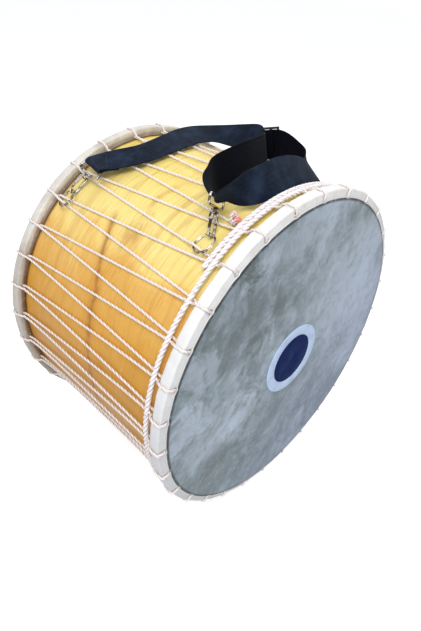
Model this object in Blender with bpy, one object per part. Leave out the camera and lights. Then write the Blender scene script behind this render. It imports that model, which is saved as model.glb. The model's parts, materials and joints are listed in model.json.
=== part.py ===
"""Davul: a two-headed bass drum with laced skins, its carrying strap, hooks and rings.

Lengths are in metres and angles in degrees. The drum lies on its side, its axis along Y and its front
head towards -Y. Angles round the shell start at the top and grow towards -X.
"""

from math import cos, degrees, pi, radians, sin, sqrt

import bmesh
import bpy
from mathutils import Matrix, Vector
from numpy import array, roll
from numpy.linalg import norm

# Fits
GAP = 0.0003

# Shell and its inner rings
SHELL_RADIUS = 0.2155
SHELL_WALL = 0.006
DRUM_DEPTH = 0.320
EDGE_BEVEL = 0.0015
RING_WIDTH = 0.018
RING_THICKNESS = 0.007

# Skins and hoops
SKIN = 0.0012
HEAD_RISE = 0.0042
HOOP_WIDTH = 0.0104
HOOP_THICKNESS = 0.0036
SKIN_TUCK = 0.0050
WRAP_BEVEL = 0.0010

# Lacing
STITCHES = 29
CORD = 0.0036
STITCH_SPACE = 0.0004
STITCH_DRIFT = 8.5
DRIFT_CENTRE = 9.0
PAIR_SPREAD = 0.0052
PAIR_REACH = 0.028
REST_FLAT = CORD / 10

# Tension rope
ROPE = 0.0062
ROPE_INSET = 0.031
ROPE_POINTS = 58
TAIL_START = -52.0
TAIL_END = 36.0
TAIL_POINTS = 22
KNOT_ANGLE = 20.0
KNOT_INSET = 0.0475
KNOT_RADIUS = 0.0056

# Patches on the front head
DOT_RADIUS = 0.0515
DOT_INNER_RADIUS = 0.0362
DOT_THICKNESS = 0.0005

# Strap and slider
STRAP_WIDTH = 0.038
STRAP_THICKNESS = 0.0016
STRAP_STEPS = 3
SLIDER_BAR = 0.003
SLIDER_CORE = 0.004
SLIDER_SLOT = 0.0070
SLIDER_THICKNESS = 0.0024
SLIDER_SPACE = 0.0005
SEW_SPACE = 0.0004

# Split rings
RING_RADIUS = 0.0130
RING_WIRE_ACROSS = 0.0022
RING_WIRE_DEEP = 0.0030
RING_SPLIT = 0.0004
RING_LOW = 0.0006
FRONT_RING = {"angle_back": 2.6, "inset": 0.0590, "side": -1, "pitch": 15.0}
REAR_RING = {"angle_back": 0.2, "inset": 0.0390, "side": 1, "pitch": 17.0}

LINK = -13

# Snap hooks, along their own axis from the swivel towards the nose
HOOK_WIRE = 0.0028
HOOK_LENGTH = 0.0285
HOOK_WIDTH = 0.0083
HOOK_SEAT = 0.0008
COLLAR_RADIUS = 0.0046
COLLAR_HEIGHT = 0.0050
STEM_RADIUS = 0.0015
BUTTON_RADIUS = 0.0025
BUTTON_HEIGHT = 0.0013
EYE_INSIDE = 0.0090
EYE_WIRE = 0.0028
EYE_SPACE = 0.0020
GATE_THICKNESS = 0.0022
GATE_DEPTH = 0.0030
EAR_THICKNESS = 0.0011
PIN_RADIUS = 0.0006
PIN_DROP = 0.0075
SPRING_THICKNESS = 0.0003

HALF_DEPTH = DRUM_DEPTH / 2
STITCH_STEP = 360.0 / STITCHES
SKIRT_RADIUS = SHELL_RADIUS + GAP + SKIN
WRAP_INNER = SKIRT_RADIUS + CORD + 2 * STITCH_SPACE
WRAP_FAR = HEAD_RISE + 2 * (SKIN + GAP) + HOOP_WIDTH
STRAND_RADIUS = SHELL_RADIUS + GAP + CORD / 2


def wrap_outer(thickness):
    """Outer radius of a lapped hoop whose wood is this thick."""
    return WRAP_INNER + 2 * (SKIN + GAP) + thickness


FRONT_OUTER = wrap_outer(HOOP_THICKNESS)
FRONT_REACH = FRONT_OUTER + GAP + CORD
# The drum lies on two front stitches and one rear stitch. The rear hoop is thinner, so it lies level.
REST_REACH = FRONT_REACH * cos(radians(STITCH_STEP / 2))
REAR_OUTER = REST_REACH - GAP - CORD
REAR_HOOP_THICKNESS = HOOP_THICKNESS - (FRONT_OUTER - REAR_OUTER)
AXIS_HEIGHT = REST_REACH - REST_FLAT
EYE_LOW = COLLAR_HEIGHT / 2 + GAP + EYE_WIRE / 2
EYE_REACH = EYE_LOW + EYE_INSIDE + EYE_WIRE


def clear_scene():
    for item in list(bpy.data.objects):
        bpy.data.objects.remove(item, do_unlink=True)


def material(name, colour, roughness, metallic=0.0):
    made = bpy.data.materials.new(name)
    made.use_nodes = True
    shader = made.node_tree.nodes["Principled BSDF"]
    shader.inputs["Base Color"].default_value = (*colour, 1.0)
    shader.inputs["Roughness"].default_value = roughness
    shader.inputs["Metallic"].default_value = metallic
    return made


def place(angle, radius, y):
    """Point at this angle and radius about the drum's axis, y from its middle."""
    turn = radians(angle)
    return Vector((-radius * sin(turn), y, AXIS_HEIGHT + radius * cos(turn)))


def inset(distance, side):
    """World y of a point this far in from the playing face: side -1 is the front, 1 the rear."""
    return side * (HALF_DEPTH - distance)


def stitch_angle(number):
    """Angle of a front stitch. The pulled stitches drift round a little towards the top."""
    even = 180.0 + (number + 0.5) * STITCH_STEP
    share = (1 + cos(radians(even - DRIFT_CENTRE))) / 2
    return even + STITCH_DRIFT * share * share


def rear_stitch_angle(number):
    return (stitch_angle(number) + stitch_angle(number + 1)) / 2


def mesh_object(name, mesh_data, look):
    mesh = bpy.data.meshes.new(name)
    mesh_data.to_mesh(mesh)
    mesh_data.free()
    mesh.shade_smooth()
    mesh.set_sharp_from_angle(angle=radians(35))
    item = bpy.data.objects.new(name, mesh)
    bpy.context.scene.collection.objects.link(item)
    item.data.materials.append(look)
    return item


def finish_mesh(data):
    bmesh.ops.recalc_face_normals(data, faces=data.faces)
    return data


def even_angles(count):
    return [index * 360.0 / count for index in range(count)]


def shell_angles():
    """Section angles of the wooden pieces: one at every front stitch and one at every rear stitch."""
    angles = []
    for number in range(STITCHES):
        angles += [stitch_angle(number), rear_stitch_angle(number)]
    return angles


def stitched_angles(side):
    """Section angles of a skin: both edges of every stitch hole, and one between two holes."""
    half = degrees((CORD / 2 + STITCH_SPACE) / SKIRT_RADIUS)
    angles = []
    for number in range(STITCHES):
        if side < 0:
            here, between = stitch_angle(number), rear_stitch_angle(number)
        else:
            here, between = rear_stitch_angle(number), stitch_angle(number + 1)
        angles += [here - half, here + half, between]
    return angles


def turned(name, profile, angles, side, look, hole_edges=()):
    """Solid turned about the drum's axis from (radius, inset) points.

    A profile that starts and ends on the axis is closed by two centre points. hole_edges gives the two
    profile edges that a stitch hole pierces: both are left open at every first span of three, and the
    hole gets its two side walls.
    """
    data = bmesh.new()
    on_axis = profile[0][0] == 0
    rims = profile[1:-1] if on_axis else profile
    rings = []
    for angle in angles:
        rings.append([data.verts.new(place(angle, r, inset(d, side))) for r, d in rims])
    count = len(rims)
    edges = [(i, i + 1) for i in range(count - 1)] + ([] if on_axis else [(count - 1, 0)])
    for index, ring in enumerate(rings):
        after = rings[(index + 1) % len(rings)]
        for a, b in edges:
            if (a, b) in hole_edges and index % 3 == 0:
                continue
            data.faces.new((ring[a], ring[b], after[b], after[a]))
    if hole_edges:
        (a, b), (c, d) = hole_edges
        for index, ring in enumerate(rings):
            if index % 3 == 0:
                after = rings[(index + 1) % len(rings)]
                for edge in (ring, after):
                    data.faces.new((edge[a], edge[b], edge[c], edge[d]))
                data.faces.new((ring[b], after[b], after[c], ring[c]))
                data.faces.new((ring[a], after[a], after[d], ring[d]))
    if on_axis:
        for rim, (_, depth) in ((0, profile[0]), (count - 1, profile[-1])):
            centre = data.verts.new(place(0, 0, inset(depth, side)))
            for index, ring in enumerate(rings):
                data.faces.new((centre, ring[rim], rings[(index + 1) % len(rings)][rim]))
    return mesh_object(name, finish_mesh(data), look)


def tube_data(points, radii, sides, closed=False):
    """Mesh tube along points, with a flat cap at each end unless it is closed."""
    data = bmesh.new()
    count = len(points)
    rings = []
    across = None
    for index, point in enumerate(points):
        before = points[index - 1] if closed or index > 0 else point
        after = points[(index + 1) % count] if closed or index < count - 1 else point
        along = (after - before).normalized()
        if across is None:
            across = along.orthogonal().normalized()
        across = (across - along * across.dot(along)).normalized()
        other = along.cross(across)
        radius = radii if isinstance(radii, float) else radii[index]
        ring = []
        for side in range(sides):
            turn = 2 * pi * side / sides
            ring.append(data.verts.new(point + radius * (cos(turn) * across + sin(turn) * other)))
        rings.append(ring)
    for index in range(count if closed else count - 1):
        here, there = rings[index], rings[(index + 1) % count]
        shift = 0
        if closed and index == count - 1:
            gaps = [(here[0].co - vert.co).length for vert in there]
            shift = gaps.index(min(gaps))
        for side in range(sides):
            after = (side + 1) % sides
            data.faces.new(
                (here[side], here[after], there[(after + shift) % sides], there[(side + shift) % sides])
            )
    if not closed:
        data.faces.new(rings[0])
        data.faces.new(rings[-1])
    return finish_mesh(data)


def cord_object(name, points, thickness, resolution, look, closed=False):
    """Round cord along points, as a curve with filled caps."""
    curve = bpy.data.curves.new(name, "CURVE")
    curve.dimensions = "3D"
    curve.bevel_depth = thickness / 2
    curve.bevel_resolution = resolution
    curve.use_fill_caps = not closed
    spline = curve.splines.new("POLY")
    spline.points.add(len(points) - 1)
    for spot, point in zip(spline.points, points):
        spot.co = (*point, 1.0)
    spline.use_cyclic_u = closed
    item = bpy.data.objects.new(name, curve)
    bpy.context.scene.collection.objects.link(item)
    curve.materials.append(look)
    return item


def helper(item):
    item.hide_render = True
    item.display_type = "WIRE"
    return item


def boolean(target, other, operation):
    modifier = target.modifiers.new(operation.lower() + "_" + other.name, "BOOLEAN")
    modifier.operation = operation
    modifier.object = helper(other)
    modifier.solver = "EXACT"
    return modifier


def box_data(low, high):
    data = bmesh.new()
    size = Vector(high) - Vector(low)
    middle = (Vector(high) + Vector(low)) / 2
    bmesh.ops.create_cube(data, size=1.0, matrix=Matrix.Translation(middle) @ Matrix.Diagonal((*size, 1.0)))
    return finish_mesh(data)


def disc_data(radius, low, high, sides, axis="Z"):
    """Cylinder about a local axis, from low to high along it."""
    data = bmesh.new()
    bmesh.ops.create_cone(
        data, cap_ends=True, segments=sides, radius1=radius, radius2=radius, depth=high - low
    )
    bmesh.ops.translate(data, verts=data.verts, vec=(0, 0, (low + high) / 2))
    if axis == "Y":
        bmesh.ops.rotate(data, verts=data.verts, matrix=Matrix.Rotation(pi / 2, 3, "X"))
    return finish_mesh(data)


# Shell, rings, hoops and skins


def make_shell(look):
    edge = SKIN + GAP
    outer, inner = SHELL_RADIUS, SHELL_RADIUS - SHELL_WALL
    far = DRUM_DEPTH - edge
    profile = [
        (outer - EDGE_BEVEL, edge),
        (outer, edge + EDGE_BEVEL),
        (outer, far - EDGE_BEVEL),
        (outer - EDGE_BEVEL, far),
        (inner, far),
        (inner, edge),
    ]
    return turned("shell", profile, shell_angles(), -1, look)


def make_inner_ring(name, side, look):
    edge = SKIN + GAP
    outer = SHELL_RADIUS - SHELL_WALL - GAP
    inner = outer - RING_THICKNESS
    profile = [(outer, edge), (outer, edge + RING_WIDTH), (inner, edge + RING_WIDTH), (inner, edge)]
    return turned(name, profile, shell_angles(), side, look)


def make_hoop(name, side, thickness, look):
    low = HEAD_RISE + SKIN + GAP
    inner = WRAP_INNER + SKIN + GAP
    profile = [
        (inner, low),
        (inner + thickness, low),
        (inner + thickness, low + HOOP_WIDTH),
        (inner, low + HOOP_WIDTH),
    ]
    return turned(name, profile, shell_angles(), side, look)


def make_head(name, side, thickness, look):
    """Skin: face, lip over the shell's edge, skirt, stitch web, and the lap round the hoop."""
    outer = wrap_outer(thickness)
    web = WRAP_FAR - SKIN
    wood_low = HEAD_RISE + SKIN
    wood_in = WRAP_INNER + SKIN
    wood_out = outer - SKIN
    bevel = WRAP_BEVEL
    profile = [
        (0, 0),
        (SKIRT_RADIUS - SKIN, 0),
        (SKIRT_RADIUS, SKIN),
        (SKIRT_RADIUS, web),
        (WRAP_INNER, web),
        (wood_out, web),
        (wood_out, wood_low),
        (wood_in, wood_low),
        (wood_in, wood_low + SKIN_TUCK),
        (WRAP_INNER, wood_low + SKIN_TUCK),
        (WRAP_INNER, HEAD_RISE),
        (outer - bevel, HEAD_RISE),
        (outer, HEAD_RISE + bevel),
        (outer, WRAP_FAR),
        (WRAP_INNER, WRAP_FAR),
        (SKIRT_RADIUS, WRAP_FAR),
        (SHELL_RADIUS + GAP, WRAP_FAR),
        (SHELL_RADIUS + GAP, SKIN),
        (0, SKIN),
    ]
    web_top = (2, 3)
    web_bottom = (13, 14)
    return turned(name, profile, stitched_angles(side), side, look, (web_top, web_bottom))


def make_dots(pale, dark):
    low = GAP
    high = GAP + DOT_THICKNESS
    inner = DOT_INNER_RADIUS + GAP
    ring = [(inner, -low), (DOT_RADIUS, -low), (DOT_RADIUS, -high), (inner, -high)]
    turned("head_patch_ring", ring, even_angles(40), -1, pale)
    disc = [(0, -high), (DOT_INNER_RADIUS, -high), (DOT_INNER_RADIUS, -low), (0, -low)]
    turned("head_patch_disc", disc, even_angles(40), -1, dark)


# Lacing


def stitch_points(angle, side, outer, pair_before, pair_after, linked=False):
    """One stitch: up through the skin inside the hoop, over the hoop's face, and down its outside.

    pair_before and pair_after are the angles at which its two strands lie beside each other. A stitch
    with a split ring on both strands leaves those two points to the ring's own.
    """
    half = CORD / 2
    over = outer + GAP + half
    under = SKIRT_RADIUS + STITCH_SPACE + half
    front = HEAD_RISE - GAP - half
    strand = STRAND_RADIUS + GAP
    route = [
        (pair_before, strand, PAIR_REACH),
        (angle, under, WRAP_FAR + 0.0016),
        (angle, under, HEAD_RISE - 0.0006),
        (angle, WRAP_INNER - 0.0008, front),
        (angle, outer - 0.0002, front),
        (angle, over, HEAD_RISE + 0.0001),
        (angle, over, WRAP_FAR + 0.0007),
        (pair_after, strand, PAIR_REACH),
    ]
    if linked:
        route = route[1:-1]
    return [place(a, r, inset(d, side)) for a, r, d in route]


def strand_angle(front_angle, rear_angle, y):
    """Angle of a strand at y on its way between its two stitches."""
    share = (y + HALF_DEPTH - PAIR_REACH) / (DRUM_DEPTH - 2 * PAIR_REACH)
    return front_angle + (rear_angle - front_angle) * share


def ring_centre_radius(site):
    """The ring lies on the shell at its rear and is raised at its front."""
    rise = RING_RADIUS * sin(radians(site["pitch"]))
    return SHELL_RADIUS + RING_LOW + RING_WIRE_DEEP / 2 + rise


def ring_angle(site):
    return rear_strand_ends(LINK)[0] - site["angle_back"] if site["side"] > 0 else (
        strand_ends(LINK)[0] - site["angle_back"]
    )


def strand_ends(number):
    """Angles where the two strands of a front stitch lie side by side behind the hoop."""
    spread = degrees(PAIR_SPREAD / 2 / STRAND_RADIUS)
    return stitch_angle(number) - spread, stitch_angle(number) + spread


def rear_strand_ends(number):
    spread = degrees(PAIR_SPREAD / 2 / STRAND_RADIUS)
    return rear_stitch_angle(number) - spread, rear_stitch_angle(number) + spread


def lift(site, front_angle, rear_angle):
    """Points that lift a strand over the low rear side of a split ring, from front to rear."""
    centre, up, along, normal = ring_frame(site)
    middle = centre.y
    offset = radians(ring_angle(site) - strand_angle(front_angle, rear_angle, middle)) * SHELL_RADIUS
    chord = sqrt(RING_RADIUS**2 - offset**2)
    wire = centre + up * offset + along * chord
    radius = sqrt(wire.x**2 + (wire.z - AXIS_HEIGHT) ** 2)
    over = radius + RING_WIRE_DEEP / 2 + 2 * GAP + CORD / 2
    spots = [
        (wire.y - 0.0100, STRAND_RADIUS + GAP),
        (wire.y - 0.0035, over + 0.0008),
        (wire.y + 0.0020, over),
    ]
    if site["side"] < 0:
        spots.append((wire.y + 0.0180, STRAND_RADIUS + GAP))
    return [place(strand_angle(front_angle, rear_angle, y), r, y) for y, r in spots]


def make_lacing(look):
    """The one cord: front stitch, strand, rear stitch, strand, all the way round."""
    points = []
    for number in range(-STITCHES + 10, 10):
        low, high = strand_ends(number)
        rear_low, rear_high = rear_strand_ends(number)
        next_low, _ = strand_ends(number + 1)
        points += stitch_points(stitch_angle(number), -1, FRONT_OUTER, low, high)
        if number == LINK:
            points += lift(REAR_RING, high, rear_low)
        rear = rear_stitch_angle(number)
        points += stitch_points(rear, 1, REAR_OUTER, rear_low, rear_high, number == LINK)
        if number == LINK:
            points += reversed(lift(REAR_RING, next_low, rear_high))
        if number == LINK - 1:
            points += reversed(lift(FRONT_RING, next_low, rear_high))
    guide = cord_object("lacing_route", points, CORD, 1, look, closed=True)
    bpy.context.view_layer.update()
    mesh = bpy.data.meshes.new_from_object(guide.evaluated_get(bpy.context.evaluated_depsgraph_get()))
    bpy.data.objects.remove(guide, do_unlink=True)
    mesh.name = "lacing_cord"
    item = bpy.data.objects.new("lacing_cord", mesh)
    bpy.context.scene.collection.objects.link(item)
    reach = FRONT_REACH * 2
    floor = mesh_object("floor_cutter", box_data((-reach, -reach, -0.05), (reach, reach, 0.0)), look)
    boolean(item, floor, "DIFFERENCE")
    return points


def least_gap(points):
    """Smallest clear space between two stretches of the closed cord that aren't neighbours."""
    spots = []
    for here, there in zip(points, points[1:] + points[:1]):
        steps = max(1, round((there - here).length / (CORD / 4)))
        spots += [here.lerp(there, step / steps) for step in range(steps)]
    line = array(spots)
    run = len(line)
    away = 8
    least = min(
        norm(line - roll(line, shift, axis=0), axis=1).min() for shift in range(away, run - away)
    )
    return least - CORD


def make_ropes(look, tip_look):
    """The tension rope over every strand, and its spare run with the knot."""
    radius = STRAND_RADIUS + CORD / 2 + 2 * GAP + ROPE / 2
    y = inset(ROPE_INSET, -1)
    points = [place(angle, radius, y) for angle in even_angles(ROPE_POINTS)]
    cord_object("tension_rope", points, ROPE, 1, look, closed=True)
    beside = y + ROPE + 2 * GAP
    spare = []
    for index in range(TAIL_POINTS):
        share = index / (TAIL_POINTS - 1)
        spare.append(place(TAIL_START + (TAIL_END - TAIL_START) * share, radius, beside))
    cord_object("tension_rope_spare", spare, ROPE, 1, look)
    knot_y = inset(KNOT_INSET, -1)
    knot_base = place(KNOT_ANGLE, STRAND_RADIUS + CORD / 2 + GAP, knot_y)
    out = (knot_base - place(KNOT_ANGLE, 0, knot_y)).normalized()
    lump = [
        (0.0002, 0.0030),
        (0.0022, KNOT_RADIUS),
        (0.0062, KNOT_RADIUS),
        (0.0095, 0.0042),
        (0.0130, 0.0036),
        (0.0165, 0.0030),
    ]
    lean = Vector((0.0, -0.25, 0.0))
    spots = [knot_base + (out + lean * (rise / 0.0165)) * rise for rise, _ in lump]
    mesh_object("rope_knot", tube_data(spots, [size for _, size in lump], 10), tip_look)


# Split rings


def ring_frame(site):
    """A split ring's centre, and its plane: up round the shell, along the drum, and outwards."""
    y = inset(site["inset"], site["side"])
    centre = place(ring_angle(site), ring_centre_radius(site), y)
    out = (centre - place(0, 0, y)).normalized()
    along = Vector((0, 1, 0))
    up = along.cross(out)
    pitch = radians(site["pitch"])
    along_tilted = (along * cos(pitch) - out * sin(pitch)).normalized()
    normal = up.cross(along_tilted).normalized()
    if normal.dot(out) < 0:
        normal = -normal
    return centre, up, along_tilted, normal


def make_split_ring(name, site, look):
    """Two turns of flat wire in one body, with the split between them left open."""
    centre, up, along, normal = ring_frame(site)
    data = bmesh.new()
    steps = 22
    turns = 1.9
    half_across = RING_WIRE_ACROSS / 2
    turn_deep = RING_WIRE_DEEP / 2 - RING_SPLIT / 2
    sections = []
    count = int(steps * turns)
    for index in range(count + 1):
        share = index / count
        turn = 2 * pi * turns * share + pi / 3
        bend = min(1.0, max(0.0, (share - 0.42) / 0.16))
        level = (bend * bend * (3 - 2 * bend) - 0.5) * (RING_WIRE_DEEP - turn_deep)
        spoke = (up * cos(turn) + along * sin(turn)).normalized()
        section = []
        for side, height in ((-1, -1), (1, -1), (1, 1), (-1, 1)):
            section.append(
                data.verts.new(
                    centre
                    + spoke * (RING_RADIUS + side * half_across)
                    + normal * (level + height * turn_deep / 2)
                )
            )
        sections.append(section)
    for here, there in zip(sections, sections[1:]):
        for side in range(4):
            after = (side + 1) % 4
            data.faces.new((here[side], here[after], there[after], there[side]))
    data.faces.new(sections[0])
    data.faces.new(sections[-1])
    return mesh_object(name, finish_mesh(data), look)


# Snap hooks


def hook_frame(nose, towards, sideways):
    """Matrix of a hook: local Z from its nose to its eye bar, local X sideways, origin at the swivel."""
    along = (towards - nose).normalized()
    across = (sideways - along * sideways.dot(along)).normalized()
    matrix = Matrix((across, along.cross(across), along)).transposed().to_4x4()
    return Matrix.Translation(nose + along * HOOK_LENGTH) @ matrix


def placed(name, data, matrix, look):
    data.transform(matrix)
    return mesh_object(name, data, look)


def make_eye(name, matrix, look):
    """Rectangular wire eye with its swivel stem and button."""
    wire = EYE_WIRE / 2
    half = STRAP_WIDTH / 2 + EYE_SPACE + wire
    top, low = EYE_REACH, EYE_LOW
    corner = 0.003
    loop = [
        (half - corner, low),
        (half, low + corner),
        (half, top - corner),
        (half - corner, top),
        (-half + corner, top),
        (-half, top - corner),
        (-half, low + corner),
        (-half + corner, low),
    ]
    points = [Vector((x, 0, z)) for x, z in loop]
    eye = placed(name, tube_data(points, wire, 8, closed=True), matrix, look)
    bottom = -COLLAR_HEIGHT / 2 - GAP
    stem = placed(name + "_stem", disc_data(STEM_RADIUS, bottom - BUTTON_HEIGHT / 2, low, 10), matrix, look)
    button = disc_data(BUTTON_RADIUS, bottom - BUTTON_HEIGHT, bottom, 10)
    boolean(eye, stem, "UNION")
    boolean(eye, placed(name + "_button", button, matrix, look), "UNION")
    return eye


def make_hook_body(name, matrix, look):
    """Collar with the stem's bore, the bent hook, and two ears for the gate's pin."""
    half = HOOK_WIDTH / 2
    wire = HOOK_WIRE / 2
    turn_z = -HOOK_LENGTH + half + wire
    route = [Vector((half, 0, COLLAR_HEIGHT / 2 - 0.0008)), Vector((half, 0, -COLLAR_HEIGHT / 2))]
    for step in range(7):
        angle = pi * step / 6
        route.append(Vector((half * cos(angle), 0, turn_z - half * sin(angle))))
    route.append(Vector((-half, 0, turn_z + 0.0012)))
    body = placed(name, disc_data(COLLAR_RADIUS, -COLLAR_HEIGHT / 2, COLLAR_HEIGHT / 2, 14), matrix, look)
    boolean(body, placed(name + "_wire", tube_data(route, wire, 8), matrix, look), "UNION")
    inner_ear = GATE_DEPTH / 2 + GAP
    for sign in (-1, 1):
        near, far = sorted((sign * inner_ear, sign * (inner_ear + EAR_THICKNESS)))
        low = (-half - GATE_THICKNESS / 2, near, -PIN_DROP - 0.0016)
        high = (-half + GATE_THICKNESS / 2 + 0.0002, far, -COLLAR_HEIGHT / 2 + 0.0012)
        ear = placed(name + f"_ear_{sign + 1}", box_data(low, high), matrix, look)
        boolean(body, ear, "UNION")
    bore = disc_data(STEM_RADIUS + GAP, -COLLAR_HEIGHT, COLLAR_HEIGHT, 10)
    boolean(body, placed(name + "_bore", bore, matrix, look), "DIFFERENCE")
    reach = inner_ear + EAR_THICKNESS + 0.001
    hole = disc_data(PIN_RADIUS + GAP, -reach, reach, 8, "Y")
    bmesh.ops.translate(hole, verts=hole.verts, vec=(-half, 0, -PIN_DROP))
    boolean(body, placed(name + "_pin_hole", hole, matrix, look), "DIFFERENCE")
    return body


def make_gate(name, matrix, look):
    """Lever gate from its pin down to the nose, with three thumb ridges."""
    half = HOOK_WIDTH / 2
    tip = -HOOK_LENGTH + half + HOOK_WIRE / 2 + 0.0012 + 2 * GAP
    low = (-half - GATE_THICKNESS / 2, -GATE_DEPTH / 2, tip)
    high = (-half + GATE_THICKNESS / 2, GATE_DEPTH / 2, -PIN_DROP + 0.0014)
    gate = placed(name, box_data(low, high), matrix, look)
    for ridge in range(3):
        z = tip + 0.0022 + ridge * 0.0020
        side = -half - GATE_THICKNESS / 2
        lump = box_data((side - 0.0007, -0.0012, z), (side + 0.0003, 0.0012, z + 0.0009))
        boolean(gate, placed(name + f"_ridge_{ridge}", lump, matrix, look), "UNION")
    hole = disc_data(PIN_RADIUS + GAP, -GATE_DEPTH, GATE_DEPTH, 8, "Y")
    bmesh.ops.translate(hole, verts=hole.verts, vec=(-half, 0, -PIN_DROP))
    boolean(gate, placed(name + "_pin_hole", hole, matrix, look), "DIFFERENCE")
    return gate


def make_gate_pin(name, matrix, look):
    reach = GATE_DEPTH / 2 + GAP + EAR_THICKNESS + 0.0003
    pin = disc_data(PIN_RADIUS, -reach, reach, 8, "Y")
    bmesh.ops.translate(pin, verts=pin.verts, vec=(-HOOK_WIDTH / 2, 0, -PIN_DROP))
    return placed(name, pin, matrix, look)


def make_gate_spring(name, matrix, look):
    """Thin leaf behind the gate."""
    inner = -HOOK_WIDTH / 2 + GATE_THICKNESS / 2 + GAP
    top = -COLLAR_HEIGHT / 2 - BUTTON_HEIGHT - 2 * GAP
    leaf = box_data((inner, -0.0009, -PIN_DROP - 0.0065), (inner + SPRING_THICKNESS, 0.0009, top))
    return placed(name, leaf, matrix, look)


# Where each hook points, seen from the front face's middle, and the way its eye bar lies
FRONT_HOOK = {"ring": FRONT_RING, "towards": (15.4, 1.154, 0, 2), "bar": (-0.72, -0.27, 0.64)}
REAR_HOOK = {"ring": REAR_RING, "towards": (23.8, 0.426, 1, -1.289), "bar": (0.10, 0.99, 0.03)}


def band_place(angle, height, share, away):
    """A place along the band's route: its angle, its height over the shell, and how far back it lies.

    Height and distance are in band widths, because the band stands on its edge. The distance counts
    from a plane at a share of the drum's depth: 0 is the front face, 1 the rear face.
    """
    y = share * DRUM_DEPTH - HALF_DEPTH + away * STRAP_WIDTH
    return place(angle, SHELL_RADIUS + height * STRAP_WIDTH, y)


def make_hook(name, site, steel, dark_steel):
    """One snap hook on its ring. Returns the frame of its eye."""
    centre, up, along, normal = ring_frame(site["ring"])
    towards = band_place(*site["towards"])
    pull = towards - centre
    direction = (pull - normal * pull.dot(normal)).normalized()
    grip = centre + direction * RING_RADIUS
    nose = grip - (towards - grip).normalized() * (RING_WIRE_DEEP / 2 + HOOK_SEAT + HOOK_WIRE)
    eye = hook_frame(nose, towards, Vector(site["bar"]))
    body = hook_frame(nose, towards, -normal)
    make_eye(name + "_eye", eye, steel)
    make_hook_body(name + "_body", body, steel)
    make_gate(name + "_gate", body, steel)
    make_gate_pin(name + "_pin", body, dark_steel)
    make_gate_spring(name + "_spring", body, dark_steel)
    return eye


# Strap: each station is the place of the band's middle and the direction of its width. The stations
# follow the band from the rear hook to the slider, round the loop, and back to the slider.

LONG_RUN = [
    ((20.5, 0.34, 1, -1.42), (0.20, 0.96, 0.14)),
    ((17.1, 0.33, 1, -1.74), (0.30, 0.93, 0.20)),
    ((12, 0.3, 0.9, -1.11), (0.38, 0.90, 0.22)),
    ((5.1, 0.27, 0.9, -1.18), (0.45, 0.87, 0.17)),
    ((-3.8, 0.29, 0.9, -1.13), (0.50, 0.85, 0.15)),
    ((-12.6, 0.34, 1, -1.82), (0.55, 0.82, 0.14)),
    ((-20.6, 0.46, 0.9, -1.03), (0.58, 0.77, 0.28)),
    ((-25.4, 0.65, 0.7, 0.16), (0.62, 0.66, 0.42)),
    ((-26.4, 0.79, 0.4, 1.95), (0.58, 0.56, 0.58)),
    ((-26.3, 0.9, 0.2, 2.97), (0.45, 0.45, 0.76)),
]
SLIDER_PLACE = (-25.3, 0.8, 0, 3.95)
SLIDER_UP = (0.14, 0.27, 0.95)
SLIDER_ALONG = (0.25, -0.94, 0.23)
LOOP_BACK = [
    ((-27.9, 0.83, 0, 3.18), (0.24, 0.45, 0.86)),
    ((-28.7, 0.69, 0, 2.66), (0.36, 0.60, 0.72)),
    ((-26.8, 0.52, 0, 2.16), (0.42, 0.72, 0.56)),
    ((-21.3, 0.43, 0, 1.82), (0.38, 0.80, 0.48)),
    ((-14.2, 0.48, 0, 1.66), (0.31, 0.80, 0.52)),
    ((-6.9, 0.51, 0, 1.53), (0.24, 0.72, 0.65)),
    ((0, 0.54, 0, 1.42), (0.10, 0.60, 0.79)),
    ((6.3, 0.6, 0, 1.37), (-0.06, 0.46, 0.88)),
    ((11.4, 0.69, 0, 1.42), (-0.30, 0.18, 0.93)),
]
LOOP_OUT = [
    ((12.2, 0.66, 0, 2.89), (-0.48, -0.24, 0.84)),
    ((7.4, 0.65, 0, 2.95), (-0.36, -0.08, 0.93)),
    ((1.9, 0.62, 0, 2.92), (-0.28, 0.06, 0.96)),
    ((-4.3, 0.61, 0, 2.97), (-0.25, 0.09, 0.96)),
    ((-11.1, 0.6, 0, 3.21), (-0.18, 0.12, 0.97)),
    ((-18.1, 0.66, 0, 3.53), (-0.05, 0.18, 0.98)),
]


def smooth_run(stations, steps):
    """Stations along a smooth curve through the given ones."""
    count = len(stations)
    run = []
    for index in range(count - 1):
        before = stations[max(index - 1, 0)]
        here, there = stations[index], stations[index + 1]
        after = stations[min(index + 2, count - 1)]
        for step in range(steps):
            t = step / steps
            mixed = []
            for part in (0, 1):
                a, b, c, d = before[part], here[part], there[part], after[part]
                mixed.append(
                    0.5
                    * (
                        2 * b
                        + (c - a) * t
                        + (2 * a - 5 * b + 4 * c - d) * t * t
                        + (3 * b - 3 * c + d - a) * t * t * t
                    )
                )
            run.append((mixed[0], mixed[1].normalized()))
    run.append((stations[-1][0], stations[-1][1].normalized()))
    return run


def ribbon_data(stations, width, thickness):
    """Flat band through stations of (middle, width direction)."""
    data = bmesh.new()
    sections = []
    count = len(stations)
    for index, (middle, across) in enumerate(stations):
        before = stations[max(index - 1, 0)][0]
        after = stations[min(index + 1, count - 1)][0]
        along = (after - before).normalized()
        across = (across - along * across.dot(along)).normalized()
        normal = along.cross(across)
        section = []
        for side, face in ((-1, -1), (1, -1), (1, 1), (-1, 1)):
            section.append(
                data.verts.new(middle + across * (side * width / 2) + normal * (face * thickness / 2))
            )
        sections.append(section)
    for here, there in zip(sections, sections[1:]):
        for side in range(4):
            after = (side + 1) % 4
            data.faces.new((here[side], here[after], there[after], there[side]))
    data.faces.new(sections[0])
    data.faces.new(sections[-1])
    return finish_mesh(data)


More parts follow.
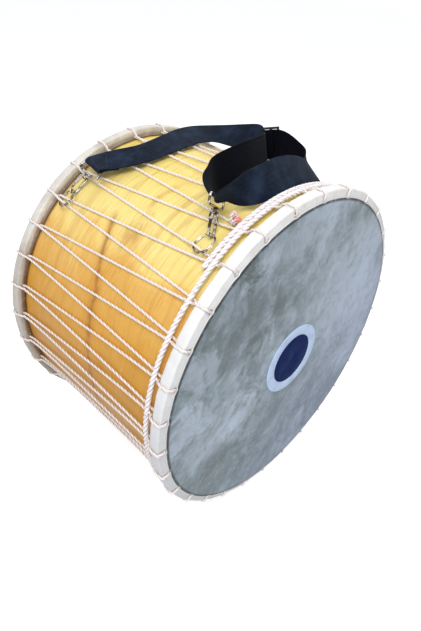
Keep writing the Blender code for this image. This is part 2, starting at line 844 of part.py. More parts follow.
def slider_axes():
    along = Vector(SLIDER_ALONG).normalized()
    up = Vector(SLIDER_UP)
    up = (up - along * up.dot(along)).normalized()
    return band_place(*SLIDER_PLACE), along, up, along.cross(up)


def make_slider(look):
    """Rectangular slider: a frame with two slots and a core bar between them."""
    centre, along, up, normal = slider_axes()
    matrix = Matrix.Translation(centre) @ Matrix((along, up, normal)).transposed().to_4x4()
    half_long = STRAP_WIDTH / 2 + SLIDER_SPACE + SLIDER_BAR
    half_wide = SLIDER_CORE / 2 + SLIDER_SLOT + SLIDER_BAR
    half_thick = SLIDER_THICKNESS / 2
    frame = placed(
        "strap_slider",
        box_data((-half_wide, -half_long, -half_thick), (half_wide, half_long, half_thick)),
        matrix,
        look,
    )
    for sign in (-1, 1):
        near, far = sorted((sign * SLIDER_CORE / 2, sign * (SLIDER_CORE / 2 + SLIDER_SLOT)))
        low = (near, -half_long + SLIDER_BAR, -SLIDER_THICKNESS)
        high = (far, half_long - SLIDER_BAR, SLIDER_THICKNESS)
        boolean(frame, placed(f"slider_slot_{sign + 1}", box_data(low, high), matrix, look), "DIFFERENCE")
    return frame


def eye_axes(eye):
    """An eye's bar: its middle, the way it lies, the way out of the eye, and square to both."""
    turn = eye.to_3x3()
    across = turn @ Vector((1, 0, 0))
    outward = turn @ Vector((0, 0, 1))
    return eye @ Vector((0, 0, EYE_REACH)), across, outward, across.cross(outward)


def loop_turn(eye, clear):
    """The band's open turn through the front hook's eye, from the front leg to the rear leg."""
    bar, across, outward, normal = eye_axes(eye)
    if normal.y > 0:
        normal = -normal
    spots = ((4.4, 6.0), (0.6, 4.2), (-1.0, 0.0), (0.6, -4.2), (4.4, -6.0))
    return [(bar + (outward * along + normal * side) * clear, across) for along, side in spots]


def sewn_end(eye, clear, first, second):
    """The band's end, doubled back under its first stretch, then round the rear hook's eye bar."""
    bar, across, outward, normal = eye_axes(eye)
    if normal.z < 0:
        normal = -normal
    below = normal * -(STRAP_THICKNESS + SEW_SPACE)
    slant = sqrt(0.5) * clear
    return [
        (first[0] * 0.35 + second[0] * 0.65 + below, second[1]),
        (first[0] + below, first[1]),
        (bar + (outward * 1.6 - normal) * clear, across),
        (bar - normal * clear, across),
        (bar - (normal + outward) * slant, across),
        (bar - outward * clear, across),
        (bar + (normal - outward) * slant, across),
        (bar + normal * clear, across),
        (bar + (outward * 1.6 + normal * 0.95) * clear, across),
    ]


def make_strap(front_eye, rear_eye, look):
    """The whole band: sewn end round the rear eye, long run, slider, loop, sewn end on the core bar."""
    centre, along, up, normal = slider_axes()
    half = STRAP_THICKNESS / 2
    clear = EYE_WIRE / 2 + GAP + half

    def by_slider(u, n):
        return (centre + along * u + normal * n, up)

    long_run = [(band_place(*spot), Vector(width)) for spot, width in LONG_RUN]
    back_run = [(band_place(*spot), Vector(width)) for spot, width in LOOP_BACK]
    out_run = [(band_place(*spot), Vector(width)) for spot, width in LOOP_OUT]
    sewn = sewn_end(rear_eye, clear, *long_run[:2])
    over = SLIDER_THICKNESS / 2 + GAP + half
    beside = SLIDER_CORE / 2 + GAP + half
    below = -(over + STRAP_THICKNESS + 2 * GAP)
    above = over + 2 * GAP
    middle = SLIDER_CORE / 2 + (SLIDER_SLOT + STRAP_THICKNESS + GAP) / 2
    to_slider = [
        by_slider(-4 * middle, below - GAP),
        by_slider(-2 * middle, below),
        by_slider(0.0, below),
        by_slider(middle - 1.7 * STRAP_THICKNESS, below + GAP),
        by_slider(middle - 0.7 * STRAP_THICKNESS, -over),
        by_slider(middle + 0.4 * STRAP_THICKNESS, over - half),
        by_slider(middle + 1.4 * STRAP_THICKNESS, above),
        by_slider(middle + 3.0 * STRAP_THICKNESS, above),
        by_slider(middle + 6.0 * STRAP_THICKNESS, above + GAP),
    ]
    core = [
        by_slider(-3 * middle, above + 2 * GAP),
        by_slider(-1.6 * middle, above + GAP),
        by_slider(-half, over),
        by_slider(beside * 0.9, over * 0.95),
        by_slider(beside, 0.0),
        by_slider(beside * 0.9, -over * 0.95),
        by_slider(0.0, -over),
        by_slider(-beside * 0.9, -over * 0.95),
        by_slider(-beside, -GAP),
    ]
    turn = loop_turn(front_eye, clear)
    long_part = smooth_run(long_run + to_slider[:1], STRAP_STEPS)
    loop_part = smooth_run(to_slider[-1:] + back_run + turn + out_run + core[:1], STRAP_STEPS)
    stations = sewn + long_part[:-1] + to_slider[:-1] + loop_part[:-1] + core
    return mesh_object("strap", ribbon_data(stations, STRAP_WIDTH, STRAP_THICKNESS), look)


def main():
    clear_scene()
    wood = material("honey_wood", (0.62, 0.34, 0.10), 0.42)
    inner_wood = material("plain_wood", (0.55, 0.38, 0.20), 0.6)
    skin = material("goat_skin", (0.42, 0.47, 0.52), 0.6)
    pale = material("patch_pale", (0.62, 0.70, 0.82), 0.5)
    dark = material("patch_dark", (0.03, 0.05, 0.13), 0.5)
    cord = material("white_cord", (0.85, 0.78, 0.76), 0.75)
    tip = material("melted_tip", (0.85, 0.60, 0.62), 0.6)
    webbing = material("black_webbing", (0.02, 0.025, 0.035), 0.8)
    steel = material("nickel", (0.75, 0.73, 0.70), 0.25, 1.0)
    dark_steel = material("spring_steel", (0.45, 0.43, 0.40), 0.35, 1.0)
    black = material("black_slider", (0.02, 0.02, 0.025), 0.45)
    make_shell(wood)
    make_inner_ring("inner_ring_front", -1, inner_wood)
    make_inner_ring("inner_ring_rear", 1, inner_wood)
    make_hoop("front_hoop", -1, HOOP_THICKNESS, inner_wood)
    make_hoop("rear_hoop", 1, REAR_HOOP_THICKNESS, inner_wood)
    make_head("front_head", -1, HOOP_THICKNESS, skin)
    make_head("rear_head", 1, REAR_HOOP_THICKNESS, skin)
    make_dots(pale, dark)
    route = make_lacing(cord)
    print("lacing: least gap to itself %.2f mm" % (least_gap(route) * 1000))
    make_ropes(cord, tip)
    make_split_ring("split_ring_front", FRONT_RING, steel)
    make_split_ring("split_ring_rear", REAR_RING, steel)
    front_eye = make_hook("hook_front", FRONT_HOOK, steel, dark_steel)
    rear_eye = make_hook("hook_rear", REAR_HOOK, steel, dark_steel)
    make_slider(black)
    make_strap(front_eye, rear_eye, webbing)


main()
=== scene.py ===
"""Davul: the looks of a two-headed, rope-laced bass drum with its carrying strap.

Lengths are in metres. The drum's axis runs along Y, its front head towards -Y. Angles round the shell
start at the top and grow towards -X, in degrees. Insets are measured from a playing face.
"""

import json
from math import cos, degrees, pi, radians, sin, sqrt

import bmesh
import bpy
import numpy as np
from mathutils import Matrix, Vector, noise


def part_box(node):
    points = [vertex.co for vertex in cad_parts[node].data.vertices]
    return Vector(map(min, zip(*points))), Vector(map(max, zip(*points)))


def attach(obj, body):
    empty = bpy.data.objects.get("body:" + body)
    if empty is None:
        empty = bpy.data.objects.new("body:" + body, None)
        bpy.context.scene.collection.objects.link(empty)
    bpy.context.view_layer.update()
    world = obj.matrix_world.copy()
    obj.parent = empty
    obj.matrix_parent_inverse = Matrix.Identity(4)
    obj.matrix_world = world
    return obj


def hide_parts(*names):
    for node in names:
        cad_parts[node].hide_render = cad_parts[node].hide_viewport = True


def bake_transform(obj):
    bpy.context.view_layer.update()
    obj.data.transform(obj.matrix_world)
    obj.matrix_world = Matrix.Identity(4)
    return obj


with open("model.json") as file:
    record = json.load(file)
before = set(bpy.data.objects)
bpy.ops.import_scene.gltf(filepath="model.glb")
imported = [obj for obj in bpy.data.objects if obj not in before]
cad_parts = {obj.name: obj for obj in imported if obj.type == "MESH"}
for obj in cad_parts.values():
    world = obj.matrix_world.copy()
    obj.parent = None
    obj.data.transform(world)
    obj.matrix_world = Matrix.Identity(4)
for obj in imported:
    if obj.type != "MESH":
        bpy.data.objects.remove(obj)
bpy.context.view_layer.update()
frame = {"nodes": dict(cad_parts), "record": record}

ROOT = "drum"

# The drum's sizes, as the frame has them
HALF_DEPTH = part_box("shell")[1][1] + 0.0015
SHELL_RADIUS = 0.2155
AXIS_HEIGHT = 0.230181
GAP = 0.0003
SKIN = 0.0012
STRAP_WIDTH = 0.038
STRAP_THICKNESS = 0.0016
SLIDER_BAR = 0.003
SLIDER_CORE = 0.004
SLIDER_SLOT = 0.0070
SLIDER_THICKNESS = 0.0024
SLIDER_SPACE = 0.0005
SEW_SPACE = 0.0004
HOOK_WIRE = 0.0028
HOOK_LENGTH = 0.0285
HOOK_WIDTH = 0.0083
COLLAR_RADIUS = 0.0046
COLLAR_HEIGHT = 0.0050
STEM_RADIUS = 0.0015
BUTTON_RADIUS = 0.0025
BUTTON_HEIGHT = 0.0013
EYE_INSIDE = 0.0090
EYE_WIRE = 0.0028
EYE_SPACE = 0.0020
EYE_LOW = COLLAR_HEIGHT / 2 + GAP + EYE_WIRE / 2
EYE_REACH = EYE_LOW + EYE_INSIDE + EYE_WIRE
EYE_BARS = {"front": (-0.72, -0.27, 0.64), "rear": (0.10, 0.99, 0.03)}
GATE_THICKNESS = 0.0022
GATE_DEPTH = 0.0030
EAR_THICKNESS = 0.0011
PIN_RADIUS = 0.0006
PIN_DROP = 0.0075
DOT_RADIUS = 0.0515
DOT_INNER_RADIUS = 0.0362
DOT_THICKNESS = 0.0005
KNOT_ANGLE = 20.0
KNOT_INSET = 0.0475

# How finely the band is drawn, and where its doubled end is sewn, along its length
RUN_STEPS = 8
BAND_STEP = 0.0018
HELD_ROWS = 3
SOFT_SPREAD = 6
SOFT_PASSES = 60
SEAM_START = 0.046
SEAM_END = 0.062
SEAM_INSET = 0.004
SEAM_STEP = 0.0028
SKIRT_RADIUS = SHELL_RADIUS + GAP + SKIN
HEAD_RISE = 0.0042
HOOP_FAR = 0.0176
CORD = 0.0036
PLY_GROOVE = 0.30
ROPE = 0.0062
WRAP_INNER = 0.2214
FRONT_OUTER = 0.2280
REAR_OUTER = 0.22664
STITCHES = 29
STITCH_STEP = 360.0 / STITCHES
STITCH_DRIFT = 8.5
DRIFT_CENTRE = 9.0
PAIR_SPREAD = 0.0052
PAIR_REACH = 0.028
STRAND_RADIUS = SHELL_RADIUS + GAP + CORD / 2
LINK = -13

# How the hide lies on the front head, the webbing's weave, and the stretch of its loop whose inside is painted in
# shade
SKIN_LIE = radians(-32.0)
HIDE_SHADES = (
    (-0.095, 0.120, 0.110, 0.70, "dark"),
    (-0.106, 0.172, 0.030, 0.85, "dark"),
    (-0.085, 0.020, 0.065, 0.55, "dark"),
    (-0.040, 0.090, 0.060, 0.50, "dark"),
    (-0.045, -0.085, 0.075, 0.45, "dark"),
    (-0.110, -0.125, 0.080, 0.45, "dark"),
    (0.110, -0.150, 0.095, 0.85, "dark"),
    (0.020, -0.190, 0.060, 0.55, "dark"),
    (0.120, 0.060, 0.140, 0.80, "pale"),
    (0.170, -0.040, 0.070, 0.55, "pale"),
    (0.000, 0.195, 0.070, 0.50, "pale"),
    (-0.195, 0.000, 0.060, 0.70, "pale"),
    (-0.172, 0.072, 0.050, 0.55, "pale"),
    (-0.130, 0.150, 0.028, 0.35, "pale"),
)
RIB_STEP = 0.0016
THREAD_STEP = 0.0022
BACK_SHIFT = 1.1
LOOP_START = 0.350

# Camera: the photograph's view
CAMERA_PLACE = Vector((-0.4278, -0.4202, 0.6770))
CAMERA_RIGHT = Vector((0.7075, -0.7062, 0.0247))
CAMERA_UP = Vector((0.4194, 0.4477, 0.7897))
FRAME_HEIGHT = 631
FOCAL_PIXELS = 494.52


def place(angle, radius, y):
    turn = radians(angle)
    return Vector((-radius * sin(turn), y, AXIS_HEIGHT + radius * cos(turn)))


def inset(distance, side):
    return side * (HALF_DEPTH - distance)


def stitch_angle(number):
    even = 180.0 + (number + 0.5) * STITCH_STEP
    share = (1 + cos(radians(even - DRIFT_CENTRE))) / 2
    return even + STITCH_DRIFT * share * share


def rear_stitch_angle(number):
    return (stitch_angle(number) + stitch_angle(number + 1)) / 2


# Meshes


def grid_object(name, points, look, close_u=False, close_v=False, cap=False, uv=None):
    """Object from a grid of points [along][across]; a closed side joins its last row to its first.

    The UV grid has one more row or column than the points on a closed side.
    """
    rows, columns = points.shape[0], points.shape[1]
    faces = []
    spots = []
    for i in range(rows if close_u else rows - 1):
        j = (i + 1) % rows
        for k in range(columns if close_v else columns - 1):
            m = (k + 1) % columns
            faces.append((i * columns + k, i * columns + m, j * columns + m, j * columns + k))
            spots += [(i, k), (i, k + 1), (i + 1, k + 1), (i + 1, k)]
    if cap:
        faces.append(tuple(range(columns))[::-1])
        faces.append(tuple((rows - 1) * columns + k for k in range(columns)))
        spots += [(0, k) for k in range(columns)][::-1]
        spots += [(rows - 1, k) for k in range(columns)]
    mesh = bpy.data.meshes.new(name)
    mesh.from_pydata(points.reshape(-1, 3).tolist(), [], faces)
    if uv is not None:
        layer = mesh.uv_layers.new(name="UVMap")
        row, column = np.array(spots).T
        layer.data.foreach_set("uv", uv[row, column].astype(np.float32).ravel())
    mesh.validate()
    mesh.shade_smooth()
    item = bpy.data.objects.new(name, mesh)
    bpy.context.scene.collection.objects.link(item)
    item.data.materials.append(look)
    return item


def rounded(points, passes=2, closed=False):
    """Corner-cutting: the route stays on its straight stretches and rounds its corners."""
    route = np.array([tuple(point) for point in points])
    for _ in range(passes):
        after = np.roll(route, -1, axis=0)
        if not closed:
            after = after[:-1]
            here = route[:-1]
        else:
            here = route
        cut = np.empty((len(here) * 2, 3))
        cut[0::2] = here * 0.75 + after * 0.25
        cut[1::2] = here * 0.25 + after * 0.75
        if not closed:
            cut = np.vstack([route[:1], cut[1:-1], route[-1:]])
        route = cut
    return route


def resampled(route, step, closed=False, bend=0.0):
    """The route again, its points a step apart and closer in its bends, and how far along each one is.

    Each radian of bend counts as that much more length. The last value is the whole route's length.
    """
    if closed:
        route = np.vstack([route, route[:1]])
    parts = np.diff(route, axis=0)
    sizes = np.maximum(np.linalg.norm(parts, axis=1), 1e-9)
    lengths = np.concatenate([[0], np.cumsum(sizes)])
    ways = parts / sizes[:, None]
    corners = np.arccos(np.clip(np.sum(ways[1:] * ways[:-1], axis=1), -1.0, 1.0))
    turning = (np.append(corners, 0.0) + np.insert(corners, 0, 0.0)) / 2
    measure = np.concatenate([[0], np.cumsum(sizes + bend * turning)])
    count = max(int(measure[-1] / step), 3)
    marks = np.linspace(0, measure[-1], count, endpoint=not closed)
    spots = np.interp(marks, measure, lengths)
    even = np.stack([np.interp(spots, lengths, route[:, axis]) for axis in range(3)], axis=1)
    return even, spots, lengths[-1]


def frames_along(route, closed=False):
    """Two unit directions square to the route at each point, turning as little as they can."""
    if closed:
        tangents = np.roll(route, -1, axis=0) - np.roll(route, 1, axis=0)
    else:
        tangents = np.gradient(route, axis=0)
    tangents /= np.linalg.norm(tangents, axis=1)[:, None]
    first = np.cross(tangents[0], (0.31, 0.17, 0.93))
    across = np.empty_like(route)
    current = first / np.linalg.norm(first)
    for index, tangent in enumerate(tangents):
        current = current - tangent * np.dot(current, tangent)
        current /= np.linalg.norm(current)
        across[index] = current
    return across, np.cross(tangents, across)


def twisted_cord(name, points, thickness, plies, pitch, step, look, closed=False, passes=2, sides=9, bend=0.0):
    """Laid cord: round plies winding about the route, drawn as one tube whose grooves wind with it."""
    route, spots, total = resampled(rounded(points, passes, closed), step, closed, bend)
    across, other = frames_along(route, closed)
    if closed:
        across, other = turn_back(route, across, other)
    turns = round(total / pitch) if closed else total / pitch
    twist = 2 * pi * turns * spots / total
    radius = thickness / 2
    grid = np.empty((len(route), sides, 3))
    for k in range(sides):
        angle = (twist + 2 * pi * k / sides)[:, None]
        reach = radius * (1 - PLY_GROOVE * (1 - abs(cos(plies * pi * k / sides))))
        grid[:, k, :] = route + (np.cos(angle) * across + np.sin(angle) * other) * reach
    lengths = np.append(spots, total) if closed else spots
    uv = np.empty((len(lengths), sides + 1, 2))
    uv[:, :, 0] = lengths[:, None]
    uv[:, :, 1] = np.arange(sides + 1)[None, :] / sides * plies
    return grid_object(name, grid, look, close_u=closed, close_v=True, cap=not closed, uv=uv)


def tube(name, points, radii, look, sides=14, closed=False, step=0.0006, passes=2):
    """Round wire or rod along points. radii is one number, or one for each point."""
    route, spots, _ = resampled(rounded(points, passes, closed), step, closed)
    if isinstance(radii, (list, tuple)):
        shares = np.linspace(0, 1, len(radii))
        sizes = np.interp(spots / spots[-1], shares, radii)
    else:
        sizes = np.full(len(route), radii)
    across, other = frames_along(route, closed)
    if closed:
        twist = turn_back(route, across, other)
        across, other = twist
    grid = np.empty((len(route), sides, 3))
    for k in range(sides):
        angle = 2 * pi * k / sides
        grid[:, k, :] = route + (cos(angle) * across + sin(angle) * other) * sizes[:, None]
    return grid_object(name, grid, look, close_u=closed, close_v=True, cap=not closed)


def turn_back(route, across, other):
    """Spread a closed route's leftover turn evenly, so that its last section meets its first."""
    last = across[-1]
    angle = np.arctan2(np.dot(last, other[0]), np.dot(last, across[0]))
    turns = -angle * np.arange(len(route))[:, None] / len(route)
    return (
        np.cos(turns) * across + np.sin(turns) * other,
        np.cos(turns) * other - np.sin(turns) * across,
    )


def lathe(name, profile, look, sections=40):
    """Turned piece about local Z, from (radius, height) points that close on themselves."""
    grid = np.empty((sections, len(profile), 3))
    for i in range(sections):
        turn = 2 * pi * i / sections
        for k, (radius, height) in enumerate(profile):
            grid[i, k] = (radius * cos(turn), radius * sin(turn), height)
    return grid_object(name, grid, look, close_u=True, close_v=True)


def soft_box(name, low, high, look, bevel):
    """Box with rounded edges."""
    corners = [(x, y, z) for x in (low[0], high[0]) for y in (low[1], high[1]) for z in (low[2], high[2])]
    faces = [(0, 1, 3, 2), (4, 6, 7, 5), (0, 4, 5, 1), (2, 3, 7, 6), (0, 2, 6, 4), (1, 5, 7, 3)]
    mesh = bpy.data.meshes.new(name)
    mesh.from_pydata(corners, [], faces)
    item = bpy.data.objects.new(name, mesh)
    bpy.context.scene.collection.objects.link(item)
    mesh.materials.append(look)
    round_edges(item, bevel)
    return item


def round_edges(item, width, segments=3):
    bevel = item.modifiers.new("edges", "BEVEL")
    bevel.width = width
    bevel.segments = segments
    bevel.limit_method = "ANGLE"
    bevel.harden_normals = True
    item.data.shade_smooth()


def joined(name, items, matrix=None):
    """One object from several, with their modifiers applied, moved by the matrix."""
    bpy.context.view_layer.update()
    graph = bpy.context.evaluated_depsgraph_get()
    data = bmesh.new()
    for item in items:
        mesh = bpy.data.meshes.new_from_object(item.evaluated_get(graph))
        data.from_mesh(mesh)
        bpy.data.meshes.remove(mesh)
    if matrix is not None:
        data.transform(matrix)
    look = items[0].data.materials[0]
    for item in items:
        bpy.data.objects.remove(item, do_unlink=True)
    mesh = bpy.data.meshes.new(name)
    data.to_mesh(mesh)
    data.free()
    whole = bpy.data.objects.new(name, mesh)
    bpy.context.scene.collection.objects.link(whole)
    mesh.materials.append(look)
    return whole


def stand_for(item, node, body=ROOT):
    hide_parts(node)
    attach(item, body)


# Materials


class Look:
    """A material under construction, with short ways to add its nodes."""

    def __init__(self, name, roughness=0.5, metallic=0.0):
        self.material = bpy.data.materials.new(name)
        self.material.use_nodes = True
        self.nodes = self.material.node_tree.nodes
        self.links = self.material.node_tree.links
        self.shader = self.nodes["Principled BSDF"]
        self.shader.inputs["Roughness"].default_value = roughness
        self.shader.inputs["Metallic"].default_value = metallic

    def add(self, kind, inputs=None, **settings):
        node = self.nodes.new(kind)
        for key, value in settings.items():
            setattr(node, key, value)
        for key, value in (inputs or {}).items():
            if hasattr(value, "is_linked") or isinstance(value, bpy.types.NodeSocket):
                self.links.new(value, node.inputs[key])
            else:
                node.inputs[key].default_value = value
        return node

    def math(self, operation, a, b=0.0, clamp=False):
        node = self.add("ShaderNodeMath", {0: a, 1: b}, operation=operation, use_clamp=clamp)
        return node.outputs[0]

    def coordinates(self, kind="Object"):
        return self.add("ShaderNodeTexCoord").outputs[kind]

    def scaled(self, vector, scale):
        return self.add("ShaderNodeMapping", {"Vector": vector, "Scale": scale}).outputs[0]

    def noise(self, vector, scale, detail=4.0, rough=0.55, distort=0.0):
        node = self.add(
            "ShaderNodeTexNoise",
            {"Vector": vector, "Scale": scale, "Detail": detail, "Roughness": rough, "Distortion": distort},
        )
        return node.outputs["Fac"]

    def ramp(self, factor, stops):
        node = self.add("ShaderNodeValToRGB", {"Fac": factor})
        elements = node.color_ramp.elements
        while len(elements) < len(stops):
            elements.new(0.5)
        for element, (spot, colour) in zip(elements, stops):
            element.position = spot
            element.color = (*colour, 1.0)
        return node.outputs["Color"]

    def step(self, value, low, high):
        node = self.add("ShaderNodeMapRange", {"Value": value, "From Min": low, "From Max": high})
        node.interpolation_type = "SMOOTHSTEP"
        return node.outputs["Result"]

    def span(self, value, low, high, start, end):
        """Straight-line map of a value from one range to another, held at both ends."""
        inputs = {"Value": value, "From Min": low, "From Max": high, "To Min": start, "To Max": end}
        return self.add("ShaderNodeMapRange", inputs).outputs["Result"]

    def near(self, value, centre, reach):
        """1 where the value is at the centre, falling softly to 0 a reach away."""
        away = self.math("ABSOLUTE", self.math("SUBTRACT", value, centre))
        return self.step(away, reach, 0.0)

    def mix(self, factor, a, b, blend="MIX"):
        node = self.add("ShaderNodeMix", data_type="RGBA", blend_type=blend)
        for socket, value in ((node.inputs[0], factor), (node.inputs[6], a), (node.inputs[7], b)):
            if isinstance(value, bpy.types.NodeSocket):
                self.links.new(value, socket)
            else:
                socket.default_value = value if isinstance(value, float) else (*value, 1.0)
        return node.outputs[2]

    def colour(self, socket):
        self.links.new(socket, self.shader.inputs["Base Color"])

    def roughness(self, factor, low, high):
        node = self.add("ShaderNodeMapRange", {"Value": factor, "To Min": low, "To Max": high})
        self.links.new(node.outputs["Result"], self.shader.inputs["Roughness"])

    def bump(self, height, strength, distance):
        node = self.add("ShaderNodeBump", {"Height": height, "Strength": strength, "Distance": distance})
        self.links.new(node.outputs["Normal"], self.shader.inputs["Normal"])


def round_coordinates(look):
    """Coordinates on the shell: arc length round it, and y along it. Also the angle in degrees."""
    parts = look.add("ShaderNodeSeparateXYZ", {"Vector": look.coordinates()})
    height = look.math("SUBTRACT", parts.outputs[2], AXIS_HEIGHT)
    left = look.math("MULTIPLY", parts.outputs[0], -1.0)
    turn = look.math("ARCTAN2", left, height)
    arc = look.math("MULTIPLY", turn, SHELL_RADIUS)
    joined = look.add("ShaderNodeCombineXYZ", {0: arc, 1: parts.outputs[1], 2: 0.0})
    return joined.outputs[0], look.math("MULTIPLY", turn, degrees(1)), parts.outputs[1]


def wood_look():
    """Varnished pale honey wood, its colour partly painted light: yellow on the lit top, browner in painted shade
    down the sides, a pale pink painted reflection of the floor underneath; fine pores, a dark grain line, brown
    smears, and painted shade along the shell beside each hoop.
    """
    look = Look("honey_wood_grain", 0.42)
    flat, angle, along = round_coordinates(look)
    bend = look.noise(look.scaled(flat, (5.0, 9.0, 1.0)), 1.0, 3.0, 0.5)
    wavy = look.add("ShaderNodeVectorMath", {0: flat, 1: (0.0, 0.0, 0.0)}, operation="ADD")
    shift = look.add("ShaderNodeCombineXYZ", {1: look.math("MULTIPLY", bend, 0.05)})
    look.links.new(shift.outputs[0], wavy.inputs[1])
    grain = look.noise(look.scaled(wavy.outputs[0], (2.6, 70.0, 1.0)), 1.0, 6.0, 0.68, 0.6)
    fine = look.noise(look.scaled(wavy.outputs[0], (18.0, 900.0, 1.0)), 1.0, 4.0, 0.6)
    cloud = look.noise(look.scaled(flat, (8.0, 13.0, 1.0)), 1.0, 5.0, 0.6, 0.9)
    away = look.math("ABSOLUTE", angle)
    shade = look.math("ADD", away, look.math("MULTIPLY", look.math("SUBTRACT", cloud, 0.5), 54.0))
    # Colour by angle from the top: the wood's honey tone with painted light, yellow on the lit top, browner in
    # painted shade down the sides, and a pale pink painted reflection of the floor underneath.
    base = look.ramp(
        look.math("DIVIDE", shade, 180.0),
        [
            (0.00, (0.88, 0.70, 0.19)),
            (0.17, (0.91, 0.76, 0.28)),
            (0.225, (0.89, 0.66, 0.21)),
            (0.28, (0.79, 0.47, 0.12)),
            (0.38, (0.70, 0.36, 0.055)),
            (0.50, (0.58, 0.27, 0.022)),
            (0.58, (0.57, 0.30, 0.06)),
            (0.65, (0.62, 0.43, 0.33)),
            (0.72, (0.70, 0.53, 0.49)),
            (0.85, (0.66, 0.49, 0.46)),
        ],
    )
    base = look.mix(look.math("MULTIPLY", look.step(grain, 0.50, 0.68), 0.50), base, (0.55, 0.27, 0.05))
    base = look.mix(look.math("MULTIPLY", look.step(grain, 0.44, 0.26), 0.26), base, (0.90, 0.70, 0.36))
    base = look.mix(look.math("MULTIPLY", look.step(fine, 0.50, 0.70), 0.46), base, (0.42, 0.18, 0.03))
    patch = look.noise(look.scaled(flat, (13.0, 22.0, 1.0)), 1.0, 5.0, 0.66, 1.4)
    base = look.mix(look.math("MULTIPLY", look.step(patch, 0.56, 0.76), 0.36), base, (0.50, 0.25, 0.06))
    wander = look.math("MULTIPLY", look.math("SUBTRACT", look.noise(flat, 26.0, 5.0, 0.66), 0.5), 0.017)
    level = look.math("ADD", look.span(angle, 34.0, 60.0, 0.038, 0.001), look.span(angle, 60.0, 95.0, 0.0, -0.017))
    beside = look.math("SUBTRACT", look.math("ADD", along, wander), level)
    shown = look.math("MULTIPLY", look.step(angle, 32.0, 38.0), look.step(angle, 118.0, 90.0))
    broken = look.span(look.noise(flat, 60.0, 3.0, 0.6), 0.30, 0.58, 0.35, 1.0)
    halo = look.math("MULTIPLY", look.near(beside, 0.0, 0.014), shown)
    line = look.math("MULTIPLY", look.math("MULTIPLY", look.near(beside, 0.0, 0.0058), broken), shown)
    base = look.mix(look.math("MULTIPLY", halo, 0.48), base, (0.50, 0.22, 0.035))
    base = look.mix(look.math("MULTIPLY", line, 0.66), base, (0.30, 0.11, 0.02))
    above = look.math("ADD", along, look.math("MULTIPLY", wander, 1.6))
    smear = look.math("MULTIPLY", look.near(above, -0.006, 0.024), look.near(angle, 38.0, 8.0))
    short = look.math("MULTIPLY", look.near(above, 0.001, 0.008), look.near(angle, 22.0, 11.0))
    smear = look.math("MULTIPLY", look.math("MAXIMUM", smear, look.math("MULTIPLY", short, 0.8)), broken)
    base = look.mix(look.math("MULTIPLY", smear, 0.76), base, (0.53, 0.25, 0.06))
    # Painted shade: a dark band on the shell where it meets each hoop.
    end = look.math("ABSOLUTE", along)
    painted_crease_shade = look.near(end, HALF_DEPTH - HOOP_FAR, 0.0062)
    base = look.mix(look.math("MULTIPLY", painted_crease_shade, 0.92), base, (0.13, 0.048, 0.015))
    look.colour(base)
    look.roughness(grain, 0.34, 0.52)
    look.bump(look.math("ADD", look.math("MULTIPLY", grain, 0.4), fine), 0.20, 0.0005)
    look.shader.inputs["Coat Weight"].default_value = 0.07
    look.shader.inputs["Coat Roughness"].default_value = 0.24
    look.shader.inputs["Specular IOR Level"].default_value = 0.26
    return look.material


def inner_wood_look():
    look = Look("inner_wood_grain", 0.6)
    flat, _, _ = round_coordinates(look)
    grain = look.noise(look.scaled(flat, (7.0, 300.0, 1.0)), 1.0, 4.0)
    look.colour(look.ramp(grain, [(0.35, (0.42, 0.26, 0.12)), (0.65, (0.60, 0.42, 0.24))]))
    look.bump(grain, 0.3, 0.0005)
    return look.material


